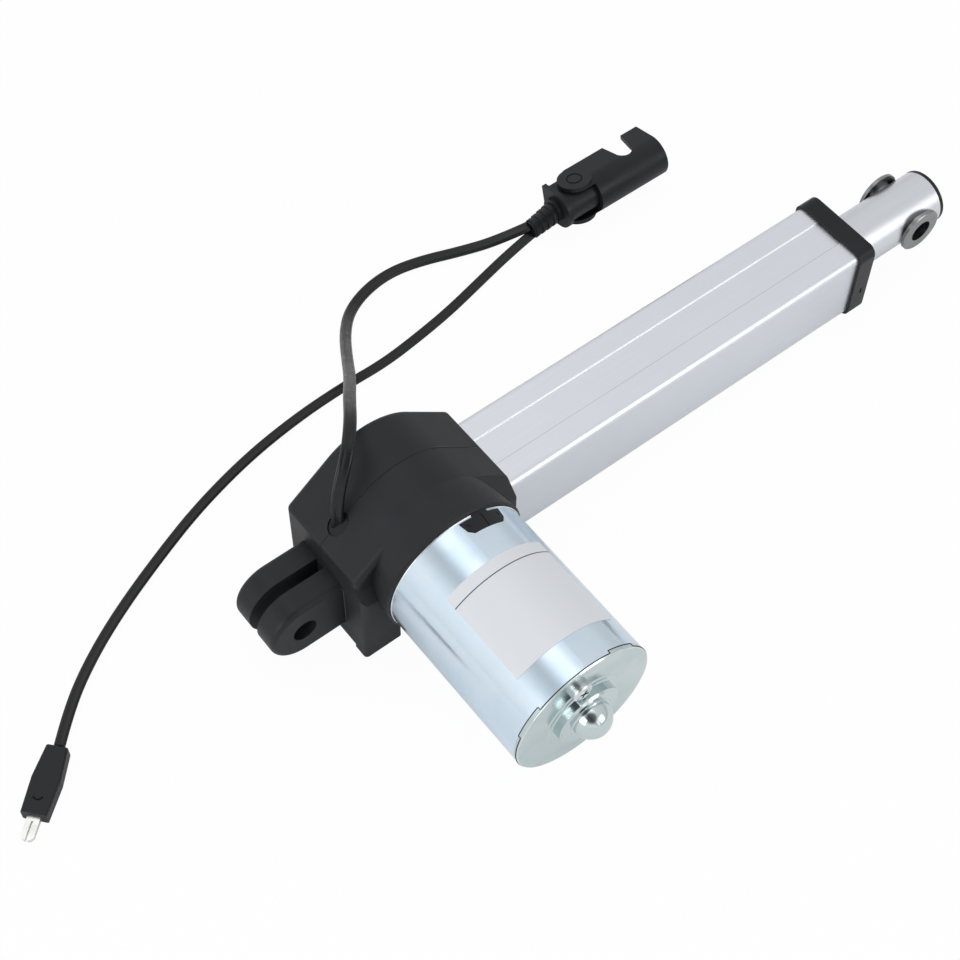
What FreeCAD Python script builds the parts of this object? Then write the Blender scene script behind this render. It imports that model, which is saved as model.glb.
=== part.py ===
import FreeCAD, Part
import math
import os

# Electric linear actuator, in millimetres. The origin is the middle of the rear clevis bore, +X runs
# along the push rod, +Y is the way the fixing pins go (the motor hangs off the -Y side) and +Z is up.

os.makedirs("parts", exist_ok=True)
V = FreeCAD.Vector
X = V(1, 0, 0)
Y = V(0, 1, 0)
Z = V(0, 0, 1)

# Stroke and fixing points
PIN_TO_PIN = 320.0          # hole to hole with the rod drawn in
STROKE = 150.0
PIN_BORE = 5.1              # radius of both fixing holes
FLOOR = -23.0               # underside of the housing, which the object lies on

# Clearances
RUNNING = 0.05              # radial gap of a shaft in its bush
SLIDING = 0.3               # gap of the nut guide in the tube
SEAT = 0.1                  # gap of a piece in its moulded seat

# Rear clevis
EAR_RADIUS = 14.4
CLEVIS_WIDTH = 25.6
SLOT_WIDTH = 5.0
SLOT_ROOT = 17.0            # how far the slot runs in front of the bore
EAR_ROUND = 2.4
CLEVIS_CHAMFER = 4.5
CLEVIS_FLANGE = 33.0
FLANGE_REAR = 21.0
FLANGE_LENGTH = 6.0

# Gearbox housing, split along the plane y = 0
HOUSE_REAR = 17.5
HOUSE_FRONT = 91.7
HOUSE_HALF = 22.0           # half width
HOUSE_WALL = 3.0
REAR_TOP = 26.0             # height of the rear face
FRONT_TOP = 24.0
DOME_RADIUS = 28.7
HOUSE_ROUND = 2.5
BLOCK_DEPTH = 4.5           # the rear corner block stands this far out of the near side
BLOCK_LENGTH = 17.0
BLOCK_TOP = 16.0
FRONT_BLOCK_DEPTH = 1.3     # the front corner block stands this far out of the near side
FRONT_BLOCK_LENGTH = 14.0
FRONT_BLOCK_ROUND = 1.2
FRONT_CHAMFER = 4.0         # the chamfer above that block starts this far in from the near side
FRONT_CHAMFER_TOP = 21.9    # its upper and lower heights on the front face
FRONT_CHAMFER_LOW = 15.7
SHOULDER = 1.3              # lip that holds each bearing
CABLE_HOLE = 4.0
CABLE_HOLE_X = 26.0
CABLE_HOLE_FLOOR = 25.0
CHANNEL_RADIUS = 3.0

# Motor, on an axis along Y above the screw
MOTOR_X = 54.3
MOTOR_Z = 18.3
CAN_RADIUS = 29.75
CAN_WALL = 1.8
CAN_FRONT = -33.5
CAN_REAR = -105.0
END_PLATE = 2.0
TAB_DEPTH = 1.2
TAB_ANGLES = ((-42.0, 20.7), (138.0, 200.7))
NOTCH_ANGLES = (0.5, 37.3)  # the terminal window behind the can's rim
NOTCH_DEPTH = 7.5
NOTCH_CHAMFER = 1.8         # its two rear corners
NOTCH_LEAN = 0.8
RIM_STRIP = 1.2
RIM_GAP = (12.0, 26.3)
TERMINAL_PROUD = 0.3
FLANGE_RADIUS = 31.0
FLANGE_ROOT = -16.0         # where the flange's cone leaves the dome
FLANGE_PLATE = 4.0
BRACKET_BOSS = 13.0
BRACKET_PLATE = 2.4
SHAFT_RADIUS = 4.0
TIP_RADIUS = 3.0
MOTOR_SCREW_CIRCLE = 19.0
BRACKET_SCREW_ANGLES = (90.0, 270.0)
LABEL_ANGLES = (-40.0, 50.0)
LABEL_ENDS = (-93.0, -53.0)
LABEL_THICKNESS = 0.12

# Worm and wheel
MODULE = 1.0
WHEEL_TEETH = 26
WHEEL_WIDTH = 8.0
TOOTH_BACKLASH = 0.28       # taken off each tooth and off the thread
PRESSURE = math.radians(20.0)
WORM_TURNS = 4
CENTRES = MOTOR_Z           # the wheel turns about the X axis, straight below the motor axis
WHEEL_PITCH = MODULE * WHEEL_TEETH / 2
WORM_PITCH = CENTRES - WHEEL_PITCH
WORM_LEAD = math.pi * MODULE
HUB_HALF = 6.0
KEY_SIDE = 3.0

# Screw and its bearings
SCREW_TIP = 262.0
BEARING_OUTER = 14.0
BEARING_WIDTH = 8.0
BEARING_REAR = 34.0
BALL_RADIUS = 2.2
BALL_COUNT = 8
NUT_THREAD = 4.0            # radius of the threaded rear end
LOCK_NUT = 8.0              # half its width over flats
NUT_THICKNESS = 4.5

# Outer tube
TUBE_SIDE = 36.0
TUBE_WALL = 2.0
TUBE_CORNER = 3.0
TUBE_REAR = 76.0
TUBE_FRONT = 281.0
BAND_HALF = 6.8             # half width of the shallow band along the top and the bottom
BAND_DEPTH = 0.4
BORE_HALF = TUBE_SIDE / 2 - TUBE_WALL

# Front cap, bush and wiper
CAP_WALL = 1.4              # how far the cap stands out from the tube's sides
CAP_CORNER = 4.5
CAP_REAR = 275.2
CAP_FRONT = 283.9
SPIGOT_REAR = 262.0
GUIDE_WALL = 2.2
WIPER_LENGTH = 4.4
CAP_LIP = 1.4
LATCH = (4.2, 5.2, -6.0, -3.2, 0.6)     # along the cap, up its near side, and its depth

# Push rod and nut. Rod and screw fill three quarters of the tube's bore; bush and spigot fill the rest.
ROD_SHARE = 0.75
ROD_RADIUS = ROD_SHARE * BORE_HALF
ROD_WALL = ROD_RADIUS / 4
SCREW_RADIUS = ROD_RADIUS / 2
SEAT_RADIUS = SCREW_RADIUS + 1.0        # the wheel's seat, whose ends are the bearing shoulders
GUIDE_OUTER = ROD_RADIUS + GUIDE_WALL
ROD_REAR = 98.0
ROD_FRONT = 333.2
NUT_REAR = 84.0
NUT_FLANGE_LENGTH = 4.0
NUT_SPIGOT = 18.0
NUT_PIN = 1.5
NUT_CORNER = 2.0
EYE_SLEEVE = 6.5
EYE_FLANGE = 10.0
EYE_FLANGE_THICKNESS = 1.7
PLUG_LENGTH = 26.0
PLUG_HEAD = 2.2

# Limit switches, in the tube's top corner above and beside the rod
BOARD_MIDDLE = BORE_HALF - 6.0
BOARD_WIDTH = 9.8
BOARD_THICKNESS = 1.2
BOARD_ENDS = (79.0, 259.0)
SWITCH_MIDDLE = BORE_HALF - 4.5
SWITCH_SIZE = (12.0, 5.8, 3.6)
SWITCH_FIRST = 82.0
SWITCH_PLACES = (SWITCH_FIRST, SWITCH_FIRST + STROKE + SWITCH_SIZE[0])
SWITCH_LEVER = 0.5
SWITCH_SIDE = SWITCH_MIDDLE - SWITCH_SIZE[1] / 2
LEVER_LOW = BORE_HALF - SEAT - BOARD_THICKNESS - SWITCH_SIZE[2] - SWITCH_LEVER
NUT_ROOM = 1.1              # from the levers down to the nut's square body
NUT_SQUARE = 2 * (LEVER_LOW - NUT_ROOM)
NUT_FLANGE = math.hypot(SWITCH_SIDE, LEVER_LOW) - 0.25      # as wide as the switches let by

# Housing screws, as (x, z), and the two screws in the motor's end plate
HOUSE_SCREWS = ((25.5, 21.0), (30.5, -18.4), (67.5, -18.4), (82.0, 26.0))
SCREW_SHANK = 1.75
SCREW_HEAD = 3.4
SCREW_HEAD_HEIGHT = 2.0
SOCKET_RADIUS = 1.6
COUNTERBORE = 3.9
HEAD_FACE = HOUSE_HALF - 2.3
SCREW_END = 6.0 - HOUSE_HALF
END_SCREW_HEAD = 4.1
END_SCREW_HEIGHT = 2.6
END_SCREW_REACH = 4.0
END_SCREW_CIRCLE = 18.7
END_SCREW_ANGLES = (-9.0, 171.0)

# Motor inside
CAN_INNER = CAN_RADIUS - CAN_WALL
MAGNET_THICKNESS = 6.65
MAGNET_INNER = CAN_INNER - MAGNET_THICKNESS
AIR_GAP = 1.0
STACK_RADIUS = MAGNET_INNER - AIR_GAP
STACK_ENDS = (-95.0, -56.0)
STACK_SLOTS = 12
SLOT_FLOOR = STACK_RADIUS / 2 + 0.35
SLOT_TOP = STACK_RADIUS - 2.3
MAGNET_ENDS = (-98.0, -53.0)
MAGNET_ARC = 140.0
REAR_TURNS = 5.0            # how far the coils stand out of each end of the stack
FRONT_TURNS = 4.0
COMMUTATOR_RADIUS = 10.0
COMMUTATOR_ENDS = (-50.0, -39.0)
HOLDER_FACE = -38.5
HOLDER_THICKNESS = 3.0
BRUSH_SIZE = (9.0, 5.0, 6.0)
BOX_WALL = 1.5
BOX_ROOM = 4.0              # between a brush box and the can
REAR_BUSH = 7.5
FRONT_BEARING = 11.0
BALL_RACE = 7.0             # its width
TIP_BUSH = 6.0
TIP_BUSH_LENGTH = 6.6
TIP_BOSS = 9.0
CUP_RADIUS = 13.4
CUP_WALL = 1.2
CUP_END = -111.0
STEP_RADIUS = 8.8
END_DOME = 7.9              # radius of the domed tip, whose centre is on the cup's end
PRESS = 0.02                # gap of a pressed piece

# Connector on the motor cable: its lock swings on an axis tilted from the vertical
JOINT_AT = V(222.6, 98.2, -11.3)
JOINT_TILT = -15.0
SHELL_HALF = 9.6            # half the height over the two cheeks
SHELL_WALL = 2.0
SHELL_CENTRE = -2.0         # centre of the round back, across the connector
CHEEK_EDGE = 8.1
CHEEK_DISC = 7.7
SHELL_REAR = 5.5
SHELL_FRONT = 43.2
HOOK_START = 34.0
HOOK_RISE = 1.0
SLOT_CENTRE = 27.7
SLOT_ROUND = 4.1
PIVOT_RADIUS = 3.3
BODY_REAR = -12.0
BODY_FRONT = 12.0
BODY_GAP = 0.5
NOSE_FRONT = 20.0
CONTACT_RADIUS = 1.2
CONTACT_LENGTH = 9.0
BODY_COLLAR = 5.6
COLLAR_LENGTH = 2.0
PLATE_HALF = 8.4            # the plate behind the cheeks
PLATE_LENGTH = 2.2
CONTACT_SIDES = (-3.5, 2.5)
RELIEF_ROOT = JOINT_AT + V(BODY_REAR - COLLAR_LENGTH, 0.0, -1.5)
RELIEF_END = V(197.9, 99.4, -17.6)
RELIEF_ROUND = 4.4
RELIEF_WIDE = 3.7           # half width and half height of the relief's end, round both leads
RELIEF_TALL = 3.4
RELIEF_RING = 0.7
RELIEF_RINGS = 4

# Cords, as thick as their flat twin leads on average, and the small plug
LEAD_A = 3.8
LEAD_B = 3.4
PLUG_AT = V(-94.8, 11.5, -19.8)
PLUG_TURN = -139.4
PLUG_LONG = 27.5
PLUG_TALL = 6.4
PLUG_WIDTHS = ((0.0, 8.4), (13.4, 11.1), (PLUG_LONG, 10.0))
PLUG_ROUND = 0.9
BLADE = (9.4, 5.0, 2.0)
BLADE_SLIT = 0.8

ROUTE_A = [
    V(26.0, 0.0, 25.5), V(26.6, 1.4, 36.5), V(30.0, 3.8, 47.5), V(37.6, 8.6, 56.5),
    V(46.4, 18.4, 58.5), V(56.4, 33.8, 48.0), V(69.8, 53.4, 29.0), V(83.0, 75.4, 8.0),
    V(96.0, 96.2, -9.0), V(108.6, 111.6, -19.2), V(122.0, 118.2, -21.0), V(136.3, 119.9, -21.0),
    V(151.0, 116.9, -21.0), V(168.0, 110.6, -21.0), V(184.0, 105.2, -20.2), V(198.2, 100.6, -16.2),
]
ROUTE_B = [
    V(197.7, 98.2, -19.0), V(184.0, 96.8, -20.8), V(164.0, 92.3, -21.2), V(144.3, 87.6, -21.2),
    V(126.1, 84.6, -21.2), V(105.9, 82.1, -21.2), V(85.6, 82.5, -21.2), V(62.0, 81.4, -21.2),
    V(34.5, 77.5, -21.2), V(5.2, 69.6, -21.2), V(-20.0, 59.7, -21.2), V(-45.6, 48.2, -21.2),
    V(-66.2, 36.6, -21.2), V(-83.0, 24.0, -20.9), V(-94.8, 11.5, -19.8),
]


def box(x0, x1, y0, y1, z0, z1):
    return Part.makeBox(x1 - x0, y1 - y0, z1 - z0, V(x0, y0, z0))


def rod_x(radius, x0, x1, y=0.0, z=0.0):
    return Part.makeCylinder(radius, x1 - x0, V(x0, y, z), X)


def rod_y(radius, y0, y1, x=0.0, z=0.0):
    return Part.makeCylinder(radius, y1 - y0, V(x, y0, z), Y)


def rod_z(radius, z0, z1, x=0.0, y=0.0):
    return Part.makeCylinder(radius, z1 - z0, V(x, y, z0), Z)


def motor_rod(radius, y0, y1):
    return rod_y(radius, y0, y1, MOTOR_X, MOTOR_Z)


def prism(points, direction):
    """A closed outline pushed along a vector."""
    return Part.Face(Part.makePolygon(points + [points[0]])).extrude(direction)


def turned_x(profile):
    """A piece turned about the X axis from (x, radius) points."""
    points = [V(x, 0, r) for x, r in profile]
    return Part.Face(Part.makePolygon(points + [points[0]])).revolve(V(0, 0, 0), X, 360)


def turned_motor(profile):
    """A piece turned about the motor axis from (y, radius) points."""
    points = [V(MOTOR_X, y, MOTOR_Z + r) for y, r in profile]
    return Part.Face(Part.makePolygon(points + [points[0]])).revolve(V(MOTOR_X, 0, MOTOR_Z), Y, 360)


def motor_arc(inner, outer, y0, y1, start, end):
    """A curved block about the motor axis; angles run from straight up towards +X."""
    points = [V(MOTOR_X, y, MOTOR_Z + r) for y, r in ((y0, inner), (y0, outer), (y1, outer), (y1, inner))]
    face = Part.Face(Part.makePolygon(points + [points[0]]))
    face.rotate(V(MOTOR_X, 0, MOTOR_Z), Y, start)
    return face.revolve(V(MOTOR_X, 0, MOTOR_Z), Y, end - start)


def on_motor(radius, angle):
    turn = math.radians(angle)
    return MOTOR_X + radius * math.sin(turn), MOTOR_Z + radius * math.cos(turn)


def round_bar(side, x0, x1, corner, height=None):
    """A bar along X with a rounded rectangular section."""
    tall = side if height is None else height
    bar = box(x0, x1, -side / 2, side / 2, -tall / 2, tall / 2)
    long_edges = [e for e in bar.Edges if abs(e.BoundBox.XLength - (x1 - x0)) < 1e-6]
    return bar.makeFillet(corner, long_edges)


def chamfered_bar(width, height, x0, x1, chamfer):
    """A bar along X whose section is a rectangle with its corners cut off."""
    w = width / 2
    h = height / 2
    c = chamfer
    low = ((-w, c - h), (c - w, -h), (w - c, -h), (w, c - h))
    high = ((w, h - c), (w - c, h), (c - w, h), (-w, h - c))
    corners = low + high
    return prism([V(x0, y, z) for y, z in corners], V(x1 - x0, 0, 0))


def edges_at(shape, axis, value):
    """Edges that lie wholly in the plane where the axis has the value."""
    low = axis + "Min"
    high = axis + "Max"
    return [
        e for e in shape.Edges
        if abs(getattr(e.BoundBox, low) - value) < 1e-4 and abs(getattr(e.BoundBox, high) - value) < 1e-4
    ]


def fused(first, *others):
    return first.fuse(list(others)).removeSplitter() if others else first


def group(solids):
    return Part.makeCompound(solids)


def ring_x(outer, inner, x0, x1):
    return rod_x(outer, x0, x1).cut(rod_x(inner, x0, x1))


def tangent_point(px, pz):
    """Where a line from a corner of the housing touches the dome circle, seen along Y."""
    dx = MOTOR_X - px
    dz = MOTOR_Z - pz
    far = math.hypot(dx, dz)
    reach = math.sqrt(far * far - DOME_RADIUS * DOME_RADIUS)
    lean = math.asin(DOME_RADIUS / far)
    turn = math.atan2(dz, dx) + (lean if dx > 0 else -lean)
    return px + reach * math.cos(turn), pz + reach * math.sin(turn)


def slope_height(x):
    """Height of the rear slope of the housing at x."""
    tx, tz = tangent_point(HOUSE_REAR, REAR_TOP)
    return REAR_TOP + (tz - REAR_TOP) * (x - HOUSE_REAR) / (tx - HOUSE_REAR)


def housing_prism(y0, y1):
    """The housing's side outline, two slopes that run on to the dome, pushed along Y."""
    ax, az = tangent_point(HOUSE_REAR, REAR_TOP)
    bx, bz = tangent_point(HOUSE_FRONT, FRONT_TOP)
    rear_low = V(HOUSE_REAR, y0, FLOOR)
    rear_high = V(HOUSE_REAR, y0, REAR_TOP)
    dome_rear = V(ax, y0, az)
    dome_front = V(bx, y0, bz)
    front_high = V(HOUSE_FRONT, y0, FRONT_TOP)
    front_low = V(HOUSE_FRONT, y0, FLOOR)
    crown = V(MOTOR_X, y0, MOTOR_Z + DOME_RADIUS)
    edges = [
        Part.LineSegment(rear_low, rear_high).toShape(),
        Part.LineSegment(rear_high, dome_rear).toShape(),
        Part.Arc(dome_rear, crown, dome_front).toShape(),
        Part.LineSegment(dome_front, front_high).toShape(),
        Part.LineSegment(front_high, front_low).toShape(),
        Part.LineSegment(front_low, rear_low).toShape(),
    ]
    solid = Part.Face(Part.Wire(edges)).extrude(V(0, y1 - y0, 0))
    corners = [
        e for e in solid.Edges
        if abs(e.BoundBox.YLength - (y1 - y0)) < 1e-6
        and min(abs(e.BoundBox.XMin - HOUSE_REAR), abs(e.BoundBox.XMin - HOUSE_FRONT)) < 1e-6
    ]
    return solid.makeFillet(HOUSE_ROUND, corners)


def bearing_front():
    """The rear face of the front bearing: the wheel's seat lies evenly about the motor axis."""
    return 2 * MOTOR_X - BEARING_REAR - BEARING_WIDTH


def gear_space():
    """What is hollow inside the two halves: clevis seat, bearings, gears, cable way and tube socket."""
    inner = HOUSE_HALF - HOUSE_WALL
    front = bearing_front()
    seat = BEARING_OUTER + RUNNING
    chamber_rear = BEARING_REAR + BEARING_WIDTH + SEAT + SHOULDER
    chamber_front = front - SEAT - SHOULDER
    neck_height = 2 * EAR_RADIUS + 2 * SEAT
    neck = round_bar(CLEVIS_WIDTH + 2 * SEAT, HOUSE_REAR - 1, FLANGE_REAR, EAR_ROUND, neck_height)
    flange_side = CLEVIS_FLANGE + 2 * SEAT
    trap = chamfered_bar(
        flange_side, flange_side, FLANGE_REAR - SEAT, FLANGE_REAR + FLANGE_LENGTH + SEAT, CLEVIS_CHAMFER
    )
    ceiling = BEARING_OUTER + 2.5
    dome = motor_rod(DOME_RADIUS - HOUSE_WALL - 0.5, CAN_FRONT + FLANGE_PLATE, inner)
    dome = dome.common(box(0, HOUSE_FRONT, CAN_FRONT, HOUSE_HALF, ceiling, ceiling + 2 * DOME_RADIUS))
    chamber = box(chamber_rear, chamber_front, -inner, inner, FLOOR + HOUSE_WALL + 0.5, ceiling + 1)
    return fused(
        neck,
        trap,
        rod_x(seat, FLANGE_REAR + FLANGE_LENGTH, BEARING_REAR + BEARING_WIDTH + SEAT),
        rod_x(seat - 2.5, BEARING_REAR, front + BEARING_WIDTH),
        chamber,
        dome,
        rod_x(seat, front - SEAT, front + BEARING_WIDTH + SEAT),
        rod_x(seat - 1.5, front, TUBE_REAR),
        round_bar(TUBE_SIDE + 2 * SEAT, TUBE_REAR - SEAT, HOUSE_FRONT + 1, TUBE_CORNER),
        rod_z(CABLE_HOLE, CABLE_HOLE_FLOOR, slope_height(CABLE_HOLE_X) + 2 * CABLE_HOLE, CABLE_HOLE_X),
        rod_x(CHANNEL_RADIUS, CABLE_HOLE_X, MOTOR_X - DOME_RADIUS / 2, 0, CABLE_HOLE_FLOOR + CHANNEL_RADIUS),
    )


def screw_holes():
    holes = []
    for x, z in HOUSE_SCREWS:
        holes.append(rod_y(SCREW_SHANK + RUNNING, SCREW_END, HEAD_FACE, x, z))
        holes.append(rod_y(COUNTERBORE, HEAD_FACE, HOUSE_HALF + 1, x, z))
    return holes


def housing_far():
    shell = housing_prism(0, HOUSE_HALF)
    shell = shell.makeFillet(HOUSE_ROUND, edges_at(shell, "Y", HOUSE_HALF))
    shell = shell.cut(gear_space())
    inner = HOUSE_HALF - HOUSE_WALL
    boss = motor_rod(TIP_BOSS, inner - TIP_BUSH_LENGTH - 1, inner + 1)
    seat = motor_rod(TIP_BUSH + RUNNING, inner - TIP_BUSH_LENGTH - 2, inner - 4 * SEAT)
    return fused(shell, boss).cut([seat] + screw_holes())


def front_corner():
    """The block that thickens the near side below the tube, with the housing's own rounded ends."""
    side = -HOUSE_HALF - FRONT_BLOCK_DEPTH
    block = housing_prism(side, 0)
    block = block.makeFillet(FRONT_BLOCK_ROUND, edges_at(block, "Y", side))
    rear = HOUSE_FRONT - FRONT_BLOCK_LENGTH
    return block.common(box(rear, HOUSE_FRONT + 1, side - 1, HOUSE_WALL - HOUSE_HALF, FLOOR - 1, FRONT_TOP))


def front_chamfer():
    """What the chamfer takes off the near top edge, which runs up the front slope."""
    tx, tz = tangent_point(HOUSE_FRONT, FRONT_TOP)
    slope = V(tx - HOUSE_FRONT, 0, tz - FRONT_TOP)
    upper = V(HOUSE_FRONT, FRONT_CHAMFER - HOUSE_HALF, FRONT_CHAMFER_TOP) - slope * 0.1
    lower = V(HOUSE_FRONT, -HOUSE_HALF - FRONT_BLOCK_DEPTH, FRONT_CHAMFER_LOW) - slope * 0.1
    across = upper - lower
    outside = V(0, -2 * across.Length, across.Length)
    inner = upper + across
    outer = lower - across
    return prism([inner, outer, outer + outside, inner + outside], slope * 1.1)


def housing_near():
    """The half that carries the motor flange, a cone that grows out of the dome, and two corner blocks."""
    shell = housing_prism(-HOUSE_HALF, 0)
    shell = shell.makeFillet(HOUSE_ROUND, edges_at(shell, "Y", -HOUSE_HALF))
    shell = fused(shell, front_corner()).cut(front_chamfer())
    flange = turned_motor([
        (CAN_FRONT, 0), (CAN_FRONT, FLANGE_RADIUS - 0.8), (CAN_FRONT + 0.8, FLANGE_RADIUS),
        (FLANGE_ROOT, DOME_RADIUS), (FLANGE_ROOT, 0),
    ])
    side = -HOUSE_HALF - BLOCK_DEPTH
    outline = [
        V(HOUSE_REAR, -HOUSE_HALF + HOUSE_WALL, REAR_TOP - HOUSE_ROUND), V(HOUSE_REAR, side, BLOCK_TOP),
        V(HOUSE_REAR, side, FLOOR), V(HOUSE_REAR, -HOUSE_HALF + HOUSE_WALL, FLOOR),
    ]
    block = prism(outline, V(BLOCK_LENGTH, 0, 0))
    block = block.makeFillet(HOUSE_ROUND, [e for e in block.Edges if e.BoundBox.YMax < side + 1e-6])
    shell = fused(shell, flange, block)
    inner = HOUSE_HALF - HOUSE_WALL
    hollow = [gear_space(), motor_rod(BRACKET_BOSS + SEAT, CAN_FRONT - 1, 1 - inner)]
    for angle in BRACKET_SCREW_ANGLES:
        x, z = on_motor(MOTOR_SCREW_CIRCLE, angle)
        hollow.append(rod_y(SCREW_SHANK + 3 * SEAT, CAN_FRONT - 1, -inner, x, z))
        hollow.append(rod_y(COUNTERBORE, CAN_FRONT + FLANGE_PLATE, 1 - inner, x, z))
    return shell.cut(hollow + screw_holes())


def housing_screws():
    screws = []
    for x, z in HOUSE_SCREWS:
        top = HEAD_FACE + SCREW_HEAD_HEIGHT
        head = rod_y(SCREW_HEAD, HEAD_FACE, top, x, z)
        shank = rod_y(SCREW_SHANK, SCREW_END + 1, HEAD_FACE, x, z)
        socket = rod_y(SOCKET_RADIUS, HEAD_FACE + SCREW_HEAD_HEIGHT / 3, top, x, z)
        screws.append(head.fuse(shank).cut(socket))
    return group(screws)


def rear_clevis():
    """Two rounded ears on one block, whose flange is trapped in the housing and backs the rear bearing."""
    half = CLEVIS_WIDTH / 2
    reach = FLANGE_REAR + FLANGE_LENGTH
    ear = fused(rod_y(EAR_RADIUS, -half, half), box(0, FLANGE_REAR + 1, -half, half, -EAR_RADIUS, EAR_RADIUS))
    ear = ear.makeFillet(EAR_ROUND, [
        e for e in edges_at(ear, "Y", half) + edges_at(ear, "Y", -half) if e.BoundBox.XLength > 1
    ])
    flange = chamfered_bar(CLEVIS_FLANGE, CLEVIS_FLANGE, FLANGE_REAR, reach, CLEVIS_CHAMFER)
    thrust = rod_x(BEARING_OUTER, reach - 1, BEARING_REAR - SEAT)
    whole = fused(ear, flange, thrust)
    slot = box(-2 * EAR_RADIUS, SLOT_ROOT, -SLOT_WIDTH / 2, SLOT_WIDTH / 2, -2 * EAR_RADIUS, 2 * EAR_RADIUS)
    pocket = rod_x(LOCK_NUT + 1.5, reach - 1, BEARING_REAR)
    return whole.cut([slot, rod_y(PIN_BORE, -half - 1, half + 1), pocket])


def bearing(x0):
    """Outer ring, inner ring and balls of a deep groove bearing about the X axis."""
    middle = x0 + BEARING_WIDTH / 2
    pitch = (BEARING_OUTER + SCREW_RADIUS) / 2
    step = BALL_RADIUS * 0.6
    groove = Part.makeTorus(pitch, BALL_RADIUS + RUNNING, V(middle, 0, 0), X)
    outer = ring_x(BEARING_OUTER, pitch + step, x0, x0 + BEARING_WIDTH).cut(groove)
    inner = ring_x(pitch - step, SCREW_RADIUS, x0, x0 + BEARING_WIDTH).cut(groove)
    balls = []
    for i in range(BALL_COUNT):
        turn = 2 * math.pi * i / BALL_COUNT
        balls.append(Part.makeSphere(BALL_RADIUS, V(middle, pitch * math.cos(turn), pitch * math.sin(turn))))
    return outer, inner, group(balls)


def lead_screw():
    seat_rear = BEARING_REAR + BEARING_WIDTH
    seat_front = bearing_front()
    thread = seat_front + BEARING_WIDTH + 2
    screw = turned_x([
        (FLANGE_REAR + FLANGE_LENGTH + 1, 0), (FLANGE_REAR + FLANGE_LENGTH + 1, NUT_THREAD - 0.6),
        (FLANGE_REAR + FLANGE_LENGTH + 1.6, NUT_THREAD), (BEARING_REAR, NUT_THREAD),
        (BEARING_REAR, SCREW_RADIUS - RUNNING), (seat_rear, SCREW_RADIUS - RUNNING), (seat_rear, SEAT_RADIUS),
        (seat_front, SEAT_RADIUS), (seat_front, SCREW_RADIUS - RUNNING), (thread, SCREW_RADIUS - RUNNING),
        (thread, SCREW_RADIUS - 1.2), (thread + 2, SCREW_RADIUS - 1.2), (thread + 3.2, SCREW_RADIUS),
        (SCREW_TIP - 1.5, SCREW_RADIUS), (SCREW_TIP, SCREW_RADIUS - 1.5), (SCREW_TIP, 0),
    ])
    return screw.cut(key_space(0.0))


def key_space(gap):
    """The wheel's square key, or with a gap the slot that it sits in."""
    length = WHEEL_WIDTH / 2 + 1 + gap
    half = KEY_SIDE / 2 + gap
    low = SEAT_RADIUS - KEY_SIDE / 2 - SEAT
    return box(MOTOR_X - length, MOTOR_X + length, -half, half, low, low + KEY_SIDE + gap)


def tooth_flank(half_at_pitch):
    """(radius, half angle) pairs up the involute flank of a wheel tooth, from inside its root to its tip."""
    base = WHEEL_PITCH * math.cos(PRESSURE)
    root = WHEEL_PITCH - 1.25 * MODULE
    tip = WHEEL_PITCH + MODULE
    steps = 4
    pairs = []
    for i in range(steps + 1):
        r = root + (tip - root) * i / steps
        lean = math.acos(base / max(r, base))
        half = half_at_pitch + math.tan(PRESSURE) - PRESSURE - math.tan(lean) + lean
        pairs.append((r if i else r - MODULE / 2, half))
    return pairs


def worm_wheel():
    """A wheel of straight skewed teeth that follow the worm's lead angle, on a hub with a thin web."""
    half_at_pitch = (math.pi * MODULE / 2 - TOOTH_BACKLASH) / 2 / WHEEL_PITCH
    slope = WORM_LEAD / (2 * math.pi * WORM_PITCH)
    shift = slope * WHEEL_WIDTH
    twist = shift / WHEEL_PITCH
    root = WHEEL_PITCH - 1.25 * MODULE
    rear = MOTOR_X - WHEEL_WIDTH / 2
    flank = tooth_flank(half_at_pitch)
    outline = [(r, -h) for r, h in flank] + [(r, h) for r, h in reversed(flank)]
    teeth = []
    for i in range(WHEEL_TEETH):
        middle = 2 * math.pi * i / WHEEL_TEETH
        turn = middle - twist / 2
        points = [V(rear, -r * math.sin(turn + h), r * math.cos(turn + h)) for r, h in outline]
        teeth.append(prism(points, V(WHEEL_WIDTH, -shift * math.cos(middle), -shift * math.sin(middle))))
    rim = ring_x(root, root - 2.5, rear, rear + WHEEL_WIDTH)
    hub = rod_x(SEAT_RADIUS + 2.4, MOTOR_X - HUB_HALF, MOTOR_X + HUB_HALF)
    web = rod_x(root - 1, MOTOR_X - 1.5, MOTOR_X + 1.5)
    wheel = fused(rim, hub, web, *teeth)
    bore = rod_x(SEAT_RADIUS + SEAT / 5, MOTOR_X - WHEEL_WIDTH, MOTOR_X + WHEEL_WIDTH)
    return wheel.cut([bore, key_space(RUNNING)])


def worm_thread(root, half):
    """The right-hand thread between y = -half and half, with a gap over the wheel at y = 0."""
    tip = WORM_PITCH + 0.9 * MODULE
    thick = (math.pi * MODULE / 2 - TOOTH_BACKLASH) / 2
    flare = math.tan(PRESSURE)
    low = root - 0.3
    wide = thick + (WORM_PITCH - low) * flare
    thin = thick - (tip - WORM_PITCH) * flare
    section = [V(low, 0, -wide), V(tip, 0, -thin), V(tip, 0, thin), V(low, 0, wide)]
    helix = Part.makeHelix(WORM_LEAD, 2 * half, WORM_PITCH)
    thread = helix.makePipeShell([Part.makePolygon(section + [section[0]])], True, True)
    thread.rotate(V(0, 0, 0), X, -90)
    thread.rotate(V(0, 0, 0), Y, 90 - 360 * (0.5 + half / WORM_LEAD))
    thread.translate(V(MOTOR_X, -half, MOTOR_Z))
    blank = motor_rod(root, -half - 3, half + 3)
    return blank.fuse(thread).common(motor_rod(2 * tip, 0.6 - half, half - 0.6))


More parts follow.
